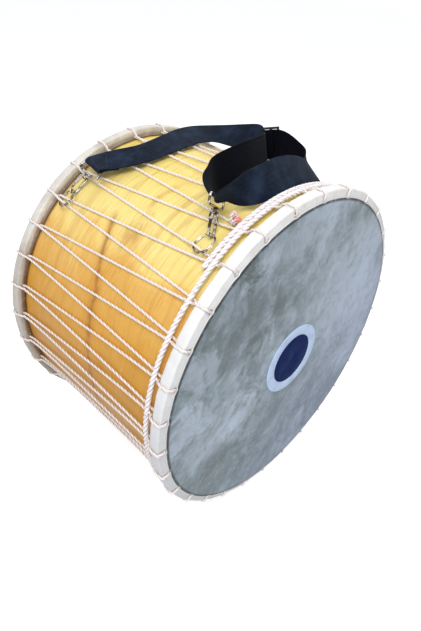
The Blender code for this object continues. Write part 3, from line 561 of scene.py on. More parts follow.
def skin_look(name, low, middle, high, scale, inner=None, side_shade=None):
    """Raw skin: clouds and darker smoky patches, pale flecks, and pores.

    A hoop's lap turns, as painted shade, to a darker colour down its side and to the inner colour beside the shell.
    The playing face, with neither colour, has clouds that lean its way, its own dark and pale parts, and painted
    shade in the crease at its edge.
    """
    look = Look(name, 0.58)
    where = look.coordinates()
    if inner is None:
        lie = look.add("ShaderNodeMapping", {"Vector": where, "Rotation": (0.0, SKIN_LIE, 0.0)})
        where = look.scaled(lie.outputs[0], (1.0, 1.0, 0.74))
    cloud = look.noise(where, scale, 6.0, 0.62, 0.8)
    mottle = look.noise(where, scale * 3.4, 6.0, 0.70, 0.6)
    fleck = look.noise(where, scale * 13.0, 5.0, 0.75)
    pores = look.noise(look.coordinates(), 900.0, 3.0, 0.6)
    mixed = look.math("ADD", look.math("MULTIPLY", cloud, 0.70), look.math("MULTIPLY", mottle, 0.30))
    base = look.ramp(mixed, [(0.35, low), (0.50, middle), (0.65, high)])
    parts = look.add("ShaderNodeSeparateXYZ", {"Vector": look.coordinates()})
    flat = look.add("ShaderNodeCombineXYZ", {0: parts.outputs[0], 1: 0.0, 2: parts.outputs[2]})
    centre = (0.0, 0.0, AXIS_HEIGHT)
    reach = look.add("ShaderNodeVectorMath", {0: flat.outputs[0], 1: centre}, operation="DISTANCE")
    if inner is None:
        base = hide_shades(look, base, low, high)
        bluer = look.step(look.math("SUBTRACT", parts.outputs[0], parts.outputs[2]), -0.28, 0.02)
        base = look.mix(look.math("MULTIPLY", bluer, 0.34), base, (0.37, 0.43, 0.64))
        # Painted shade: a dark line in the crease where the face meets the lapped hoop.
        painted_crease_shade = look.near(reach.outputs["Value"], 0.2176, 0.0032)
        base = look.mix(look.math("MULTIPLY", painted_crease_shade, 0.95), base, (0.022, 0.024, 0.028))
    else:
        _, angle, _ = round_coordinates(look)
        # Painted shade: the lap darkens down its side, away from the light on top.
        base = look.mix(look.span(look.math("ABSOLUTE", angle), 30.0, 120.0, 0.0, 1.0), base, side_shade)
        # Painted shade where the lap tucks in beside the shell, strongest on the left side.
        inward = look.step(reach.outputs["Value"], 0.2242, 0.2180)
        base = look.mix(look.math("MULTIPLY", inward, look.span(angle, 20.0, 80.0, 0.60, 1.0)), base, inner)
    base = look.mix(look.math("MULTIPLY", look.step(fleck, 0.50, 0.72), 0.30), base, high)
    base = look.mix(look.math("MULTIPLY", look.step(fleck, 0.50, 0.30), 0.34), base, low)
    look.colour(base)
    look.roughness(mottle, 0.50, 0.72)
    height = look.math("ADD", look.math("MULTIPLY", fleck, 0.7), look.math("MULTIPLY", pores, 0.3))
    look.bump(height, 0.28, 0.0007)
    look.shader.inputs["Sheen Weight"].default_value = 0.04
    look.shader.inputs["Specular IOR Level"].default_value = 0.32
    return look.material


def hide_shades(look, base, low, high):
    """The hide's own darker and lighter parts: (across, height over the axis, reach, share, dark or pale)."""
    parts = look.add("ShaderNodeSeparateXYZ", {"Vector": look.coordinates()})
    wave = look.noise(look.coordinates(), 21.0, 6.0, 0.70, 0.8)
    for across, rise, reach, share, shade in HIDE_SHADES:
        aside = look.math("SUBTRACT", parts.outputs[0], across)
        up = look.math("SUBTRACT", parts.outputs[2], AXIS_HEIGHT + rise)
        square = look.math("ADD", look.math("MULTIPLY", aside, aside), look.math("MULTIPLY", up, up))
        away = look.math("ADD", look.math("SQRT", square), look.span(wave, 0.3, 0.7, -0.055, 0.055))
        blot = look.math("MULTIPLY", look.step(away, reach, reach * 0.05), share)
        base = look.mix(blot, base, low if shade == "dark" else high)
    return base


def cord_look(name, pale, dark, groove_shade_share, specks, above=1.0):
    """Twisted cord: painted shade in the grooves between its plies, fine fibres, and stray dark threads.

    The painted groove shade is lighter over the front hoop, and over the drum's lit top only the share "above" of it
    is left.
    """
    look = Look(name, 0.80)
    uv = look.coordinates("UV")
    parts = look.add("ShaderNodeSeparateXYZ", {"Vector": uv})
    share = look.math("FRACT", parts.outputs[1])
    wave = look.math("ABSOLUTE", look.math("SUBTRACT", share, 0.5))
    groove = look.step(wave, 0.26, 0.06)
    dirt = look.noise(look.coordinates(), 60.0, 4.0, 0.6)
    fibre = look.noise(look.scaled(uv, (900.0, 14.0, 1.0)), 1.0, 3.0)
    worn = tuple(0.86 * a + 0.14 * b for a, b in zip(pale, dark))
    base = look.mix(look.step(dirt, 0.50, 0.80), pale, worn)
    spot = look.add("ShaderNodeSeparateXYZ", {"Vector": look.coordinates()})
    # Painted shade in the grooves between the plies: dark brown over the shell, light grey over the front hoop,
    # fading towards the lit top.
    ahead = look.step(spot.outputs[1], HOOP_FAR + 0.003 - HALF_DEPTH, HOOP_FAR - 0.003 - HALF_DEPTH)
    groove_shade_colour = look.mix(look.math("MULTIPLY", ahead, 0.75), dark, (0.66, 0.61, 0.61))
    groove_shade_by_height = look.span(spot.outputs[2], AXIS_HEIGHT + 0.03, AXIS_HEIGHT + 0.17, groove_shade_share, groove_shade_share * above)
    base = look.mix(look.math("MULTIPLY", groove, groove_shade_by_height), base, groove_shade_colour)
    stray = look.step(look.noise(look.scaled(uv, (300.0, 2.6, 1.0)), 1.0, 2.0), 0.60, 0.68)
    look.colour(look.mix(look.math("MULTIPLY", stray, specks), base, (0.22, 0.19, 0.25)))
    look.bump(look.math("ADD", fibre, look.math("MULTIPLY", groove, -1.0)), 0.4, 0.0005)
    look.shader.inputs["Sheen Weight"].default_value = 0.12
    look.shader.inputs["Specular IOR Level"].default_value = 0.30
    return look.material


def metal_look(name, colour, worn, roughness):
    """Plated metal: fine scratches, and dark brown patches that are partly worn plating and partly painted dark
    reflections.
    """
    look = Look(name, roughness, 1.0)
    wear_and_dark_reflection = look.noise(look.coordinates(), 170.0, 5.0, 0.65)
    spots = look.noise(look.coordinates(), 900.0, 3.0, 0.6)
    # The dark patches stand partly for worn plating and partly for painted dark reflections.
    look.colour(look.mix(look.step(wear_and_dark_reflection, 0.46, 0.56), colour, worn))
    look.roughness(wear_and_dark_reflection, roughness * 0.7, roughness * 1.8)
    look.bump(spots, 0.14, 0.0002)
    return look.material


def webbing_look():
    """Woven band: ribs across it and a fine twill, from its own coordinates, with a little lint.

    The inside of its loop, whose coordinates lie BACK_SHIFT away, is painted in shade, darker than the rest.
    """
    look = Look("woven_webbing", 0.78)
    uv = look.coordinates("UV")
    parts = look.add("ShaderNodeSeparateXYZ", {"Vector": uv})
    ribs = look.math("SINE", look.math("MULTIPLY", parts.outputs[0], 2 * pi / RIB_STEP))
    threads = look.math("SINE", look.math("MULTIPLY", parts.outputs[1], 2 * pi / THREAD_STEP))
    slant = look.math("ADD", parts.outputs[0], parts.outputs[1])
    twill = look.math("SINE", look.math("MULTIPLY", slant, 2 * pi / RIB_STEP))
    weave = look.math("ADD", look.math("MULTIPLY", ribs, threads), look.math("MULTIPLY", twill, 0.4))
    lint = look.noise(look.coordinates(), 1400.0, 2.0, 0.6)
    dust = look.noise(look.coordinates(), 38.0, 4.0, 0.6)
    base = look.mix(look.step(weave, -0.6, 1.1), (0.0034, 0.0062, 0.0140), (0.0135, 0.0215, 0.0410))
    base = look.mix(look.math("MULTIPLY", look.step(dust, 0.40, 0.75), 0.7), base, (0.025, 0.043, 0.082))
    base = look.mix(look.math("MULTIPLY", look.step(lint, 0.62, 0.78), 0.5), base, (0.07, 0.100, 0.150))
    # Painted shade on the inside of the loop.
    loop_inside_shade = look.step(parts.outputs[1], BACK_SHIFT * 0.4, BACK_SHIFT * 0.6)
    look.colour(look.mix(look.math("MULTIPLY", loop_inside_shade, 0.92), base, (0.0008, 0.0006, 0.0028)))
    look.bump(weave, 0.5, 0.0003)
    look.shader.inputs["Specular IOR Level"].default_value = 0.07
    look.shader.inputs["Sheen Weight"].default_value = 0.03
    look.shader.inputs["Sheen Roughness"].default_value = 0.4
    look.shader.inputs["Sheen Tint"].default_value = (0.60, 0.72, 0.85, 1.0)
    return look.material


def thread_look():
    look = Look("sewing_thread", 0.7)
    twist = look.noise(look.coordinates(), 2600.0, 2.0, 0.5)
    look.colour(look.mix(twist, (0.006, 0.007, 0.010), (0.035, 0.040, 0.050)))
    look.bump(twist, 0.3, 0.0001)
    return look.material


def moulded_look(name, colour, roughness, specular=0.5):
    look = Look(name, roughness)
    look.shader.inputs["Specular IOR Level"].default_value = specular
    grain = look.noise(look.coordinates(), 1800.0, 3.0, 0.6)
    cloud = look.noise(look.coordinates(), 70.0, 3.0, 0.5)
    look.colour(look.mix(look.step(cloud, 0.4, 0.7), colour, tuple(0.85 * part for part in colour)))
    look.roughness(cloud, roughness * 0.8, roughness * 1.2)
    look.bump(grain, 0.25, 0.0002)
    return look.material


# Skins

LIP_START = 12
LIP_MEET = 0.2183
LIP_MEET_DEPTH = 0.0012
WRAP_SWELL = 0.0011


def soft_noise(spot, scale, seed):
    return noise.noise(Vector(spot) * scale + Vector((seed, seed * 0.37, seed * 1.7)))


def stitch_dip(angle, side):
    """0 to 1: how near an angle is to a stitch, which presses the skin in."""
    best = 0.0
    for number in range(STITCHES):
        here = stitch_angle(number) if side < 0 else rear_stitch_angle(number)
        away = (angle - here + 180) % 360 - 180
        if abs(away) < 3:
            best = max(best, np.exp(-((radians(away) * SKIRT_RADIUS / 0.0030) ** 2)))
    return best


def make_head(side, name, node, face_look, edge_look):
    """Face, rounded lip pressed in at each stitch, and the skirt down to the hoop's far side."""
    sections = STITCHES * 14
    lip = 0.2202
    profile = [(r, 0.0) for r in (0.0005, 0.03, 0.06, 0.09, 0.12, 0.15, 0.18, 0.20, 0.211)]
    for step in range(7):
        turn = pi / 2 * step / 6
        profile.append((lip - 0.0040 + 0.0040 * sin(turn), 0.0040 - 0.0040 * cos(turn)))
    profile += [(0.2200, 0.0055), (0.2190, 0.0085), (SKIRT_RADIUS + 0.0003, 0.012), (SKIRT_RADIUS, 0.0162)]
    profile += [(WRAP_INNER + 0.001, 0.0166), (WRAP_INNER + 0.001, 0.0174), (SHELL_RADIUS + GAP, 0.0174)]
    grid = np.empty((sections, len(profile), 3))
    for i in range(sections):
        angle = 360.0 * i / sections
        dip = stitch_dip(angle, side)
        for k, (radius, depth) in enumerate(profile):
            spot = place(angle, radius, inset(depth, side))
            if 0.0015 < depth < 0.0140 or radius > 0.2165:
                over = max(radius - (SKIRT_RADIUS + 0.0002), 0.0)
                radius -= dip * over
            if depth == 0.0 and radius > 0.01:
                depth += 0.00025 * (0.5 + soft_noise(spot, 22.0, 3.1 + side))
            elif depth < 0.012:
                radius += 0.0003 * soft_noise(spot, 60.0, 5.0 + side)
            grid[i, k] = place(angle, radius, inset(depth, side))
    item = grid_object(name, grid, face_look, close_u=True)
    item.data.materials.append(edge_look)
    spans = len(profile) - 1
    for face in item.data.polygons:
        face.material_index = 1 if face.index % spans >= LIP_START else 0
    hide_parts(node)
    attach(item, ROOT)
    return item


def make_wrap(side, name, node, outer, look):
    """The lapped hoop: skin drawn round the wooden hoop from the lip to the shell, notched by each stitch."""
    sections = STITCHES * 28
    middle = (WRAP_INNER + outer) / 2
    half_thick = (outer - WRAP_INNER) / 2
    centre = (HEAD_RISE + HOOP_FAR) / 2
    half_wide = (HOOP_FAR - HEAD_RISE) / 2
    corner = 0.45
    rim = []
    for step in range(32):
        turn = 2 * pi * step / 32
        c, s = cos(turn), sin(turn)
        rim.append((np.sign(c) * abs(c) ** corner, np.sign(s) * abs(s) ** corner))
    grid = np.empty((sections, len(rim), 3))
    for i in range(sections):
        angle = 360.0 * i / sections
        between = 1.0 - stitch_dip(angle, side)
        for k, (u, v) in enumerate(rim):
            radius = middle + half_thick * u + WRAP_SWELL * between * max(u, 0.0)
            depth = centre + half_wide * v - WRAP_SWELL * between * max(-v, 0.0)
            if u < 0:
                inward = min(1.0, -1.3 * u)
                radius += (SHELL_RADIUS + 0.0010 - WRAP_INNER) * inward * min(1.0, max(0.0, v - 0.2) / 0.5)
                lipward = inward * between * min(1.0, max(0.0, -0.2 - v) / 0.5)
                radius += (LIP_MEET - WRAP_INNER) * lipward
                depth += (LIP_MEET_DEPTH + WRAP_SWELL - HEAD_RISE) * lipward
            spot = place(angle, radius, inset(depth, side))
            swell = 0.0005 * soft_noise(spot, 26.0, 11.0 + side) + 0.0003 * soft_noise(spot, 110.0, 4.0)
            grid[i, k] = place(angle, radius + swell * u, inset(depth + swell * v, side))
    item = grid_object(name, grid, look, close_u=True, close_v=True)
    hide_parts(node)
    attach(item, ROOT)
    return item


# Lacing and ropes

RINGS = {
    "front": {"angle_back": 2.6, "inset": 0.0590, "side": -1, "pitch": 15.0},
    "rear": {"angle_back": 0.2, "inset": 0.0390, "side": 1, "pitch": 17.0},
}
RING_RADIUS = 0.0130
RING_DEEP = 0.0030
RING_LOW = 0.0006
RING_SPLIT = 0.0004


def strand_ends(number):
    spread = degrees(PAIR_SPREAD / 2 / STRAND_RADIUS)
    return stitch_angle(number) - spread, stitch_angle(number) + spread


def rear_strand_ends(number):
    spread = degrees(PAIR_SPREAD / 2 / STRAND_RADIUS)
    return rear_stitch_angle(number) - spread, rear_stitch_angle(number) + spread


def strand_angle(front_angle, rear_angle, y):
    share = (y + HALF_DEPTH - PAIR_REACH) / (2 * HALF_DEPTH - 2 * PAIR_REACH)
    return front_angle + (rear_angle - front_angle) * share


def ring_frame(key):
    site = RINGS[key]
    ends = rear_strand_ends(LINK) if site["side"] > 0 else strand_ends(LINK)
    angle = ends[0] - site["angle_back"]
    y = inset(site["inset"], site["side"])
    pitch = radians(site["pitch"])
    centre = place(angle, SHELL_RADIUS + RING_LOW + RING_DEEP / 2 + RING_RADIUS * sin(pitch), y)
    out = (centre - place(0, 0, y)).normalized()
    along = Vector((0, 1, 0))
    up = along.cross(out)
    tilted = along * cos(pitch) - out * sin(pitch)
    normal = up.cross(tilted)
    return angle, centre, up, tilted, normal if normal.dot(out) > 0 else -normal


def lift(key, front_angle, rear_angle):
    """Points that lift a strand over the low rear side of a split ring, from front to rear."""
    angle, centre, up, along, normal = ring_frame(key)
    offset = radians(angle - strand_angle(front_angle, rear_angle, centre.y)) * SHELL_RADIUS
    wire = centre + up * offset + along * (RING_RADIUS**2 - offset**2) ** 0.5
    radius = (wire.x**2 + (wire.z - AXIS_HEIGHT) ** 2) ** 0.5
    over = radius + RING_DEEP / 2 + 2 * GAP + CORD / 2
    spots = [
        (wire.y - 0.0100, STRAND_RADIUS + GAP),
        (wire.y - 0.0035, over + 0.0008),
        (wire.y + 0.0020, over),
    ]
    if RINGS[key]["side"] < 0:
        spots.append((wire.y + 0.0180, STRAND_RADIUS + GAP))
    return [place(strand_angle(front_angle, rear_angle, y), r, y) for y, r in spots]


def stitch_points(angle, side, outer, before, after, linked=False):
    half = CORD / 2
    over = outer + GAP + half
    under = SKIRT_RADIUS + 0.0004 + half
    front = HEAD_RISE - GAP - half
    strand = STRAND_RADIUS + GAP
    route = [
        (before, strand, PAIR_REACH),
        (angle, under, HOOP_FAR + 0.0016),
        (angle, under, HEAD_RISE - 0.0006),
        (angle, WRAP_INNER - 0.0008, front),
        (angle, outer - 0.0002, front),
        (angle, over, HEAD_RISE + 0.0001),
        (angle, over, HOOP_FAR + 0.0007),
        (after, strand, PAIR_REACH),
    ]
    if linked:
        route = route[1:-1]
    return [place(a, r, inset(d, side)) for a, r, d in route]


def make_lacing(look):
    points = []
    for number in range(-STITCHES + 10, 10):
        low, high = strand_ends(number)
        rear_low, rear_high = rear_strand_ends(number)
        next_low, _ = strand_ends(number + 1)
        points += stitch_points(stitch_angle(number), -1, FRONT_OUTER, low, high)
        if number == LINK:
            points += lift("rear", high, rear_low)
        rear = rear_stitch_angle(number)
        points += stitch_points(rear, 1, REAR_OUTER, rear_low, rear_high, number == LINK)
        if number == LINK:
            points += reversed(lift("rear", next_low, rear_high))
        if number == LINK - 1:
            points += reversed(lift("front", next_low, rear_high))
    for point in points:
        point.z = max(point.z, CORD / 2)
    item = twisted_cord("lacing", points, CORD * 0.96, 2, 0.0150, 0.0018, look, closed=True, sides=8, bend=0.004)
    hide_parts("lacing_cord")
    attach(item, ROOT)


def make_ropes(look):
    radius = STRAND_RADIUS + CORD / 2 + 2 * GAP + ROPE / 2
    y = inset(0.031, -1)
    angles = np.linspace(0, 360, 240, endpoint=False)
    main = [place(a, radius, y + 0.0004 * sin(radians(a * 7))) for a in angles]
    rope = twisted_cord("rope_round", main, ROPE, 3, 0.0210, 0.0014, look, closed=True, passes=0, sides=18)
    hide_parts("tension_rope")
    beside = y + ROPE + 2 * GAP
    spare = [place(a, radius, beside) for a in np.linspace(-52.0, 36.0, 70)]
    second = twisted_cord("rope_spare", spare, ROPE, 3, 0.0210, 0.0014, look, passes=0, sides=18)
    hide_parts("tension_rope_spare")
    for item in (rope, second):
        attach(item, ROOT)


def make_knot(look, tip_look):
    """The rope's end: a small bight that stands up beside the rope, bound, with its end melted."""
    y = inset(KNOT_INSET, -1)
    base = place(KNOT_ANGLE, STRAND_RADIUS + CORD / 2 + 3 * GAP, y)
    out = (base - place(KNOT_ANGLE, 0, y)).normalized()
    along = Vector((0, 1, 0))
    up = along.cross(out)

    def spot(side, back, rise):
        return base + (up * side + along * back + out * rise) * 0.001

    bight = [
        spot(-3.4, -0.8, 1.6), spot(-4.4, 0.4, 5.0), spot(-3.4, 1.2, 10.6), spot(0.2, 0.6, 14.6),
        spot(3.4, -0.6, 12.0), spot(3.0, -1.2, 6.6), spot(0.2, -0.8, 4.0), spot(-2.2, 1.2, 2.4),
    ]
    loop = twisted_cord("knot_bight", bight, 0.0042, 2, 0.009, 0.0009, look, passes=3, sides=12)
    wrap = [spot(2.9 * cos(t), 2.9 * sin(t), 2.1 + 0.42 * t) for t in np.linspace(0.4, 13.0, 40)]
    turns = twisted_cord("knot_turns", wrap, 0.0024, 2, 0.006, 0.0007, look, passes=1, sides=10)
    end = [spot(0.4, -0.8, 3.6), spot(1.4, -3.0, 5.6), spot(2.6, -5.0, 5.2), spot(3.2, -5.9, 3.8)]
    tip = tube("knot_tip", end, [0.0018, 0.0024, 0.0031, 0.0024, 0.0013], tip_look, sides=14, passes=3)
    for item in (loop, turns, tip):
        stand_for(item, "rope_knot")


# Split rings and snap hooks


def make_split_ring(key, look):
    """Two turns of round wire side by side, crossing over at the split, with both ends cut square."""
    _, centre, up, along, normal = ring_frame(key)
    turns = 1.9
    count = 150
    points = []
    for index in range(count + 1):
        share = index / count
        turn = 2 * pi * turns * share + pi / 3
        bend = min(1.0, max(0.0, (share - 0.42) / 0.16))
        level = (bend * bend * (3 - 2 * bend) - 0.5) * (RING_DEEP / 2 + RING_SPLIT)
        spoke = up * cos(turn) + along * sin(turn)
        points.append(centre + spoke * RING_RADIUS + normal * level)
    wire = (RING_DEEP - RING_SPLIT) / 4
    ring = tube(f"ring_{key}_wire", points, wire, look, sides=12, passes=0)
    stand_for(ring, f"split_ring_{key}")


def hook_matrices(key):
    """The hook body's frame, from its joints, and its eye's: Z along the swivel, from nose to eye."""
    joints = {joint["name"]: joint for joint in frame["record"]["behaviour"]["joints"]}
    swivel = joints[f"hook_{key}_swivel"]
    z = Vector(swivel["axis"]).normalized()
    origin = Matrix.Translation(Vector(swivel["pos_m"]))

    def frame_of(side):
        x = (side - z * side.dot(z)).normalized()
        return origin @ Matrix((x, z.cross(x), z)).transposed().to_4x4()

    pin = -Vector(joints[f"hook_{key}_gate_hinge"]["axis"])
    return frame_of(pin.cross(z)), frame_of(Vector(EYE_BARS[key]))


def make_eye(key, matrix, look):
    """Rectangular wire eye on its stem, with a collar at the foot and the stem's riveted button."""
    wire = EYE_WIRE / 2
    half = STRAP_WIDTH / 2 + EYE_SPACE + wire
    corner = 0.0042
    low, top = EYE_LOW, EYE_REACH
    loop = []
    for x, z in ((half, low), (half, top), (-half, top), (-half, low)):
        inward = Vector((-np.sign(x) * corner, 0, 0))
        rise = Vector((0, 0, corner if z == low else -corner))
        spot = Vector((x, 0, z))
        pair = [spot + inward, spot + rise] if (x > 0) == (z == low) else [spot + rise, spot + inward]
        loop += [pair[0], spot.lerp((pair[0] + pair[1]) / 2, 0.42), pair[1]]
    eye = tube("eye_loop", loop, wire, look, sides=16, closed=True, passes=3)
    bottom = -COLLAR_HEIGHT / 2 - GAP
    button = BUTTON_RADIUS * 0.86
    stem = [
        (0.0, low), (0.0026, low), (0.0027, low - 0.0009), (0.0021, low - wire), (STEM_RADIUS, low - wire - 0.0002),
        (STEM_RADIUS, bottom), (button, bottom), (button * 0.95, bottom - BUTTON_HEIGHT * 0.6),
        (button * 0.6, bottom - BUTTON_HEIGHT), (0.0, bottom - BUTTON_HEIGHT),
    ]
    whole = joined(f"eye_{key}_wire", [eye, lathe("eye_stem", stem, look, 28)], matrix)
    stand_for(whole, f"hook_{key}_eye")


def make_hook_body(key, matrix, look):
    """Barrel collar with two rims, the tapering shank bent into the hook, and the gate's two ears."""
    half = HOOK_WIDTH / 2
    high = COLLAR_HEIGHT / 2
    bore = STEM_RADIUS + GAP
    barrel = [
        (bore, high), (COLLAR_RADIUS * 0.86, high), (COLLAR_RADIUS, high - 0.0006), (COLLAR_RADIUS, high - 0.0011),
        (COLLAR_RADIUS * 0.90, high - 0.0015), (COLLAR_RADIUS * 0.88, 0.0), (COLLAR_RADIUS * 0.90, 0.0015 - high),
        (COLLAR_RADIUS, 0.0011 - high), (COLLAR_RADIUS, 0.0006 - high), (COLLAR_RADIUS * 0.86, -high), (bore, -high),
    ]
    wire = HOOK_WIRE / 2
    turn_z = -HOOK_LENGTH + half + wire
    route = [Vector((half, 0, high - 0.0010)), Vector((half, 0, -high)), Vector((half, 0, turn_z * 0.7))]
    for step in range(9):
        angle = pi * step / 8
        route.append(Vector((half * cos(angle), 0, turn_z - half * sin(angle))))
    route.append(Vector((-half, 0, turn_z + 0.0010)))
    thick = [wire * 1.25, wire * 1.15, wire, wire, wire, wire * 0.96]
    shank = tube("hook_shank", route, thick, look, sides=16, passes=2)
    pieces = [lathe("hook_barrel", barrel, look, 32), shank]
    inner = GATE_DEPTH / 2 + GAP
    for sign in (-1, 1):
        near, far = sorted((sign * inner, sign * (inner + EAR_THICKNESS)))
        low = (-half - GATE_THICKNESS / 2, near, -PIN_DROP - 0.0016)
        top = (-half + GATE_THICKNESS / 2 + 0.0002, far, -high + 0.0008)
        pieces.append(soft_box("hook_ear", low, top, look, 0.00045))
    body = joined(f"hook_{key}_casting", pieces, matrix)
    stand_for(body, f"hook_{key}_body", f"hook_{key}")


def make_gate(key, matrix, look, steel):
    """Thumb gate with its ridges, its pin with domed heads, and the leaf spring behind it."""
    half = HOOK_WIDTH / 2
    tip = -HOOK_LENGTH + half + HOOK_WIRE / 2 + 0.0012 + 2 * GAP
    back = -half - GATE_THICKNESS / 2
    low = (back, -GATE_DEPTH / 2, tip)
    high = (-half + GATE_THICKNESS / 2, GATE_DEPTH / 2, -PIN_DROP + 0.0014)
    pieces = [soft_box("gate_bar", low, high, look, 0.0005)]
    for ridge in range(3):
        z = tip + 0.0022 + ridge * 0.0020
        lump = ((back - 0.0007, -0.0012, z), (back + 0.0003, 0.0012, z + 0.0009))
        pieces.append(soft_box("gate_ridge", *lump, look, 0.0003))
    gate = joined(f"gate_{key}_lever", pieces, matrix)
    stand_for(gate, f"hook_{key}_gate", f"gate_{key}")
    reach = GATE_DEPTH / 2 + GAP + EAR_THICKNESS + 0.0003
    profile = [(0.0, reach), (PIN_RADIUS * 0.7, reach - 0.00005), (PIN_RADIUS, reach - 0.0003)]
    profile += [(radius, -height) for radius, height in reversed(profile)]
    lie = Matrix.Translation((-half, 0, -PIN_DROP)) @ Matrix.Rotation(pi / 2, 4, "X")
    pin = joined(f"gate_{key}_pin", [lathe("pin_rod", profile, steel, 20)], matrix @ lie)
    stand_for(pin, f"hook_{key}_pin", f"hook_{key}")
    make_leaf(key, matrix, -half + GATE_THICKNESS / 2 + GAP, steel)


def make_leaf(key, matrix, inner, steel):
    """Leaf spring: its upper end sits in the hook's body and its lower end reaches down beside the gate."""
    outer = inner + 0.0003
    side = 0.0009
    grid = np.empty((16, 4, 3))
    for i, z in enumerate(np.linspace(-PIN_DROP - 0.0065, -COLLAR_HEIGHT / 2 - BUTTON_HEIGHT - 2 * GAP, 16)):
        grid[i] = [(inner, -side, z), (outer, -side, z), (outer, side, z), (inner, side, z)]
    leaf = joined(f"gate_{key}_leaf", [grid_object("leaf", grid, steel, close_v=True, cap=True)], matrix)
    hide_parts(f"hook_{key}_spring")
    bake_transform(leaf)


# Strap


def band_place(angle, height, share, away):
    """A place on the band's route. Height over the shell and distance are in band widths."""
    y = (2 * share - 1) * HALF_DEPTH + away * STRAP_WIDTH
    return place(angle, SHELL_RADIUS + height * STRAP_WIDTH, y)


LONG_RUN = [
    ((20.3, 0.345, 1, -1.47), (0.22, 0.95, 0.17)),
    ((16.6, 0.325, 1, -1.87), (0.34, 0.90, 0.25)),
    ((11.4, 0.275, 0.9, -1.30), (0.40, 0.88, 0.24)),
    ((4.5, 0.25, 0.9, -1.37), (0.46, 0.86, 0.21)),
    ((-4.3, 0.265, 0.9, -1.25), (0.50, 0.84, 0.18)),
    ((-12.8, 0.33, 1, -1.88), (0.55, 0.81, 0.17)),
    ((-20.6, 0.46, 0.9, -1.03), (0.58, 0.77, 0.28)),
    ((-25.4, 0.65, 0.7, 0.16), (0.62, 0.66, 0.42)),
    ((-26.4, 0.79, 0.4, 1.95), (0.58, 0.56, 0.58)),
    ((-26.3, 0.9, 0.2, 2.97), (0.45, 0.45, 0.76)),
]
SLIDER_PLACE = (-25.3, 0.8, 0, 3.95)
SLIDER_UP = (0.14, 0.27, 0.95)
SLIDER_ALONG = (0.25, -0.94, 0.23)
LOOP_BACK = [
    ((-27.4, 0.68, 0, 3.16), (0.08, 0.62, 0.78)),
    ((-28.6, 0.53, 0, 2.60), (0.00, 0.80, 0.60)),
    ((-27.2, 0.45, 0, 2.10), (0.08, 0.84, 0.54)),
    ((-21.6, 0.44, 0, 1.80), (0.22, 0.84, 0.50)),
    ((-14.2, 0.49, 0, 1.66), (0.31, 0.80, 0.52)),
    ((-6.9, 0.53, 0, 1.52), (0.24, 0.72, 0.65)),
    ((0, 0.60, 0, 1.40), (0.10, 0.62, 0.77)),
    ((6.0, 0.66, 0, 1.28), (-0.04, 0.48, 0.87)),
    ((11.0, 0.66, 0, 1.38), (-0.10, 0.34, 0.94)),
]
LOOP_OUT = [
    ((14.4, 0.63, 0, 2.62), (0.05, 0.28, 0.95)),
    ((10.4, 0.635, 0, 2.80), (0.12, 0.34, 0.93)),
    ((4.0, 0.62, 0, 2.80), (0.14, 0.36, 0.92)),
    ((-2.8, 0.62, 0, 2.88), (0.10, 0.34, 0.93)),
    ((-10.4, 0.62, 0, 3.12), (0.02, 0.28, 0.96)),
    ((-18.1, 0.67, 0, 3.50), (-0.02, 0.20, 0.98)),
]


def stations(run):
    return [(band_place(*spot), Vector(width)) for spot, width in run]


def smooth_run(run, steps):
    """Stations along a smooth curve through the given ones."""
    smooth = []
    for index in range(len(run) - 1):
        around = [run[min(max(index + shift, 0), len(run) - 1)] for shift in (-1, 0, 1, 2)]
        for step in range(steps):
            t = step / steps
            weights = (
                (-t + 2 * t * t - t**3) / 2,
                (2 - 5 * t * t + 3 * t**3) / 2,
                (t + 4 * t * t - 3 * t**3) / 2,
                (-t * t + t**3) / 2,
            )
            middle = sum((spot[0] * weight for spot, weight in zip(around, weights)), Vector())
            width = sum((spot[1] * weight for spot, weight in zip(around, weights)), Vector())
            smooth.append((middle, width.normalized()))
    smooth.append((run[-1][0], run[-1][1].normalized()))
    return smooth


def slider_axes():
    along = Vector(SLIDER_ALONG).normalized()
    up = Vector(SLIDER_UP)
    up = (up - along * up.dot(along)).normalized()
    return band_place(*SLIDER_PLACE), along, up, along.cross(up)


def eye_axes(matrix):
    turn = matrix.to_3x3()
    across = turn @ Vector((1, 0, 0))
    outward = turn @ Vector((0, 0, 1))
    return matrix @ Vector((0, 0, EYE_REACH)), across, outward, across.cross(outward)


def loop_turn(matrix, clear):
    bar, across, outward, normal = eye_axes(matrix)
    if normal.y > 0:
        normal = -normal
    spots = ((1.6, 3.6), (-1.0, 0.0), (1.6, -3.6))
    return [(bar + (outward * along + normal * side) * clear, across) for along, side in spots]


def sewn_end(matrix, clear, first, second):
    bar, across, outward, normal = eye_axes(matrix)
    if normal.z < 0:
        normal = -normal
    below = normal * -(STRAP_THICKNESS + SEW_SPACE)
    slant = sqrt(0.5) * clear
    return [
        (first[0] * 0.35 + second[0] * 0.65 + below, second[1]),
        (first[0] + below, first[1]),
        (bar + (outward * 1.6 - normal) * clear, across),
        (bar - normal * clear, across),
        (bar - (normal + outward) * slant, across),
        (bar - outward * clear, across),
        (bar + (normal - outward) * slant, across),
        (bar + normal * clear, across),
        (bar + (outward * 1.6 + normal * 0.95) * clear, across),
    ]


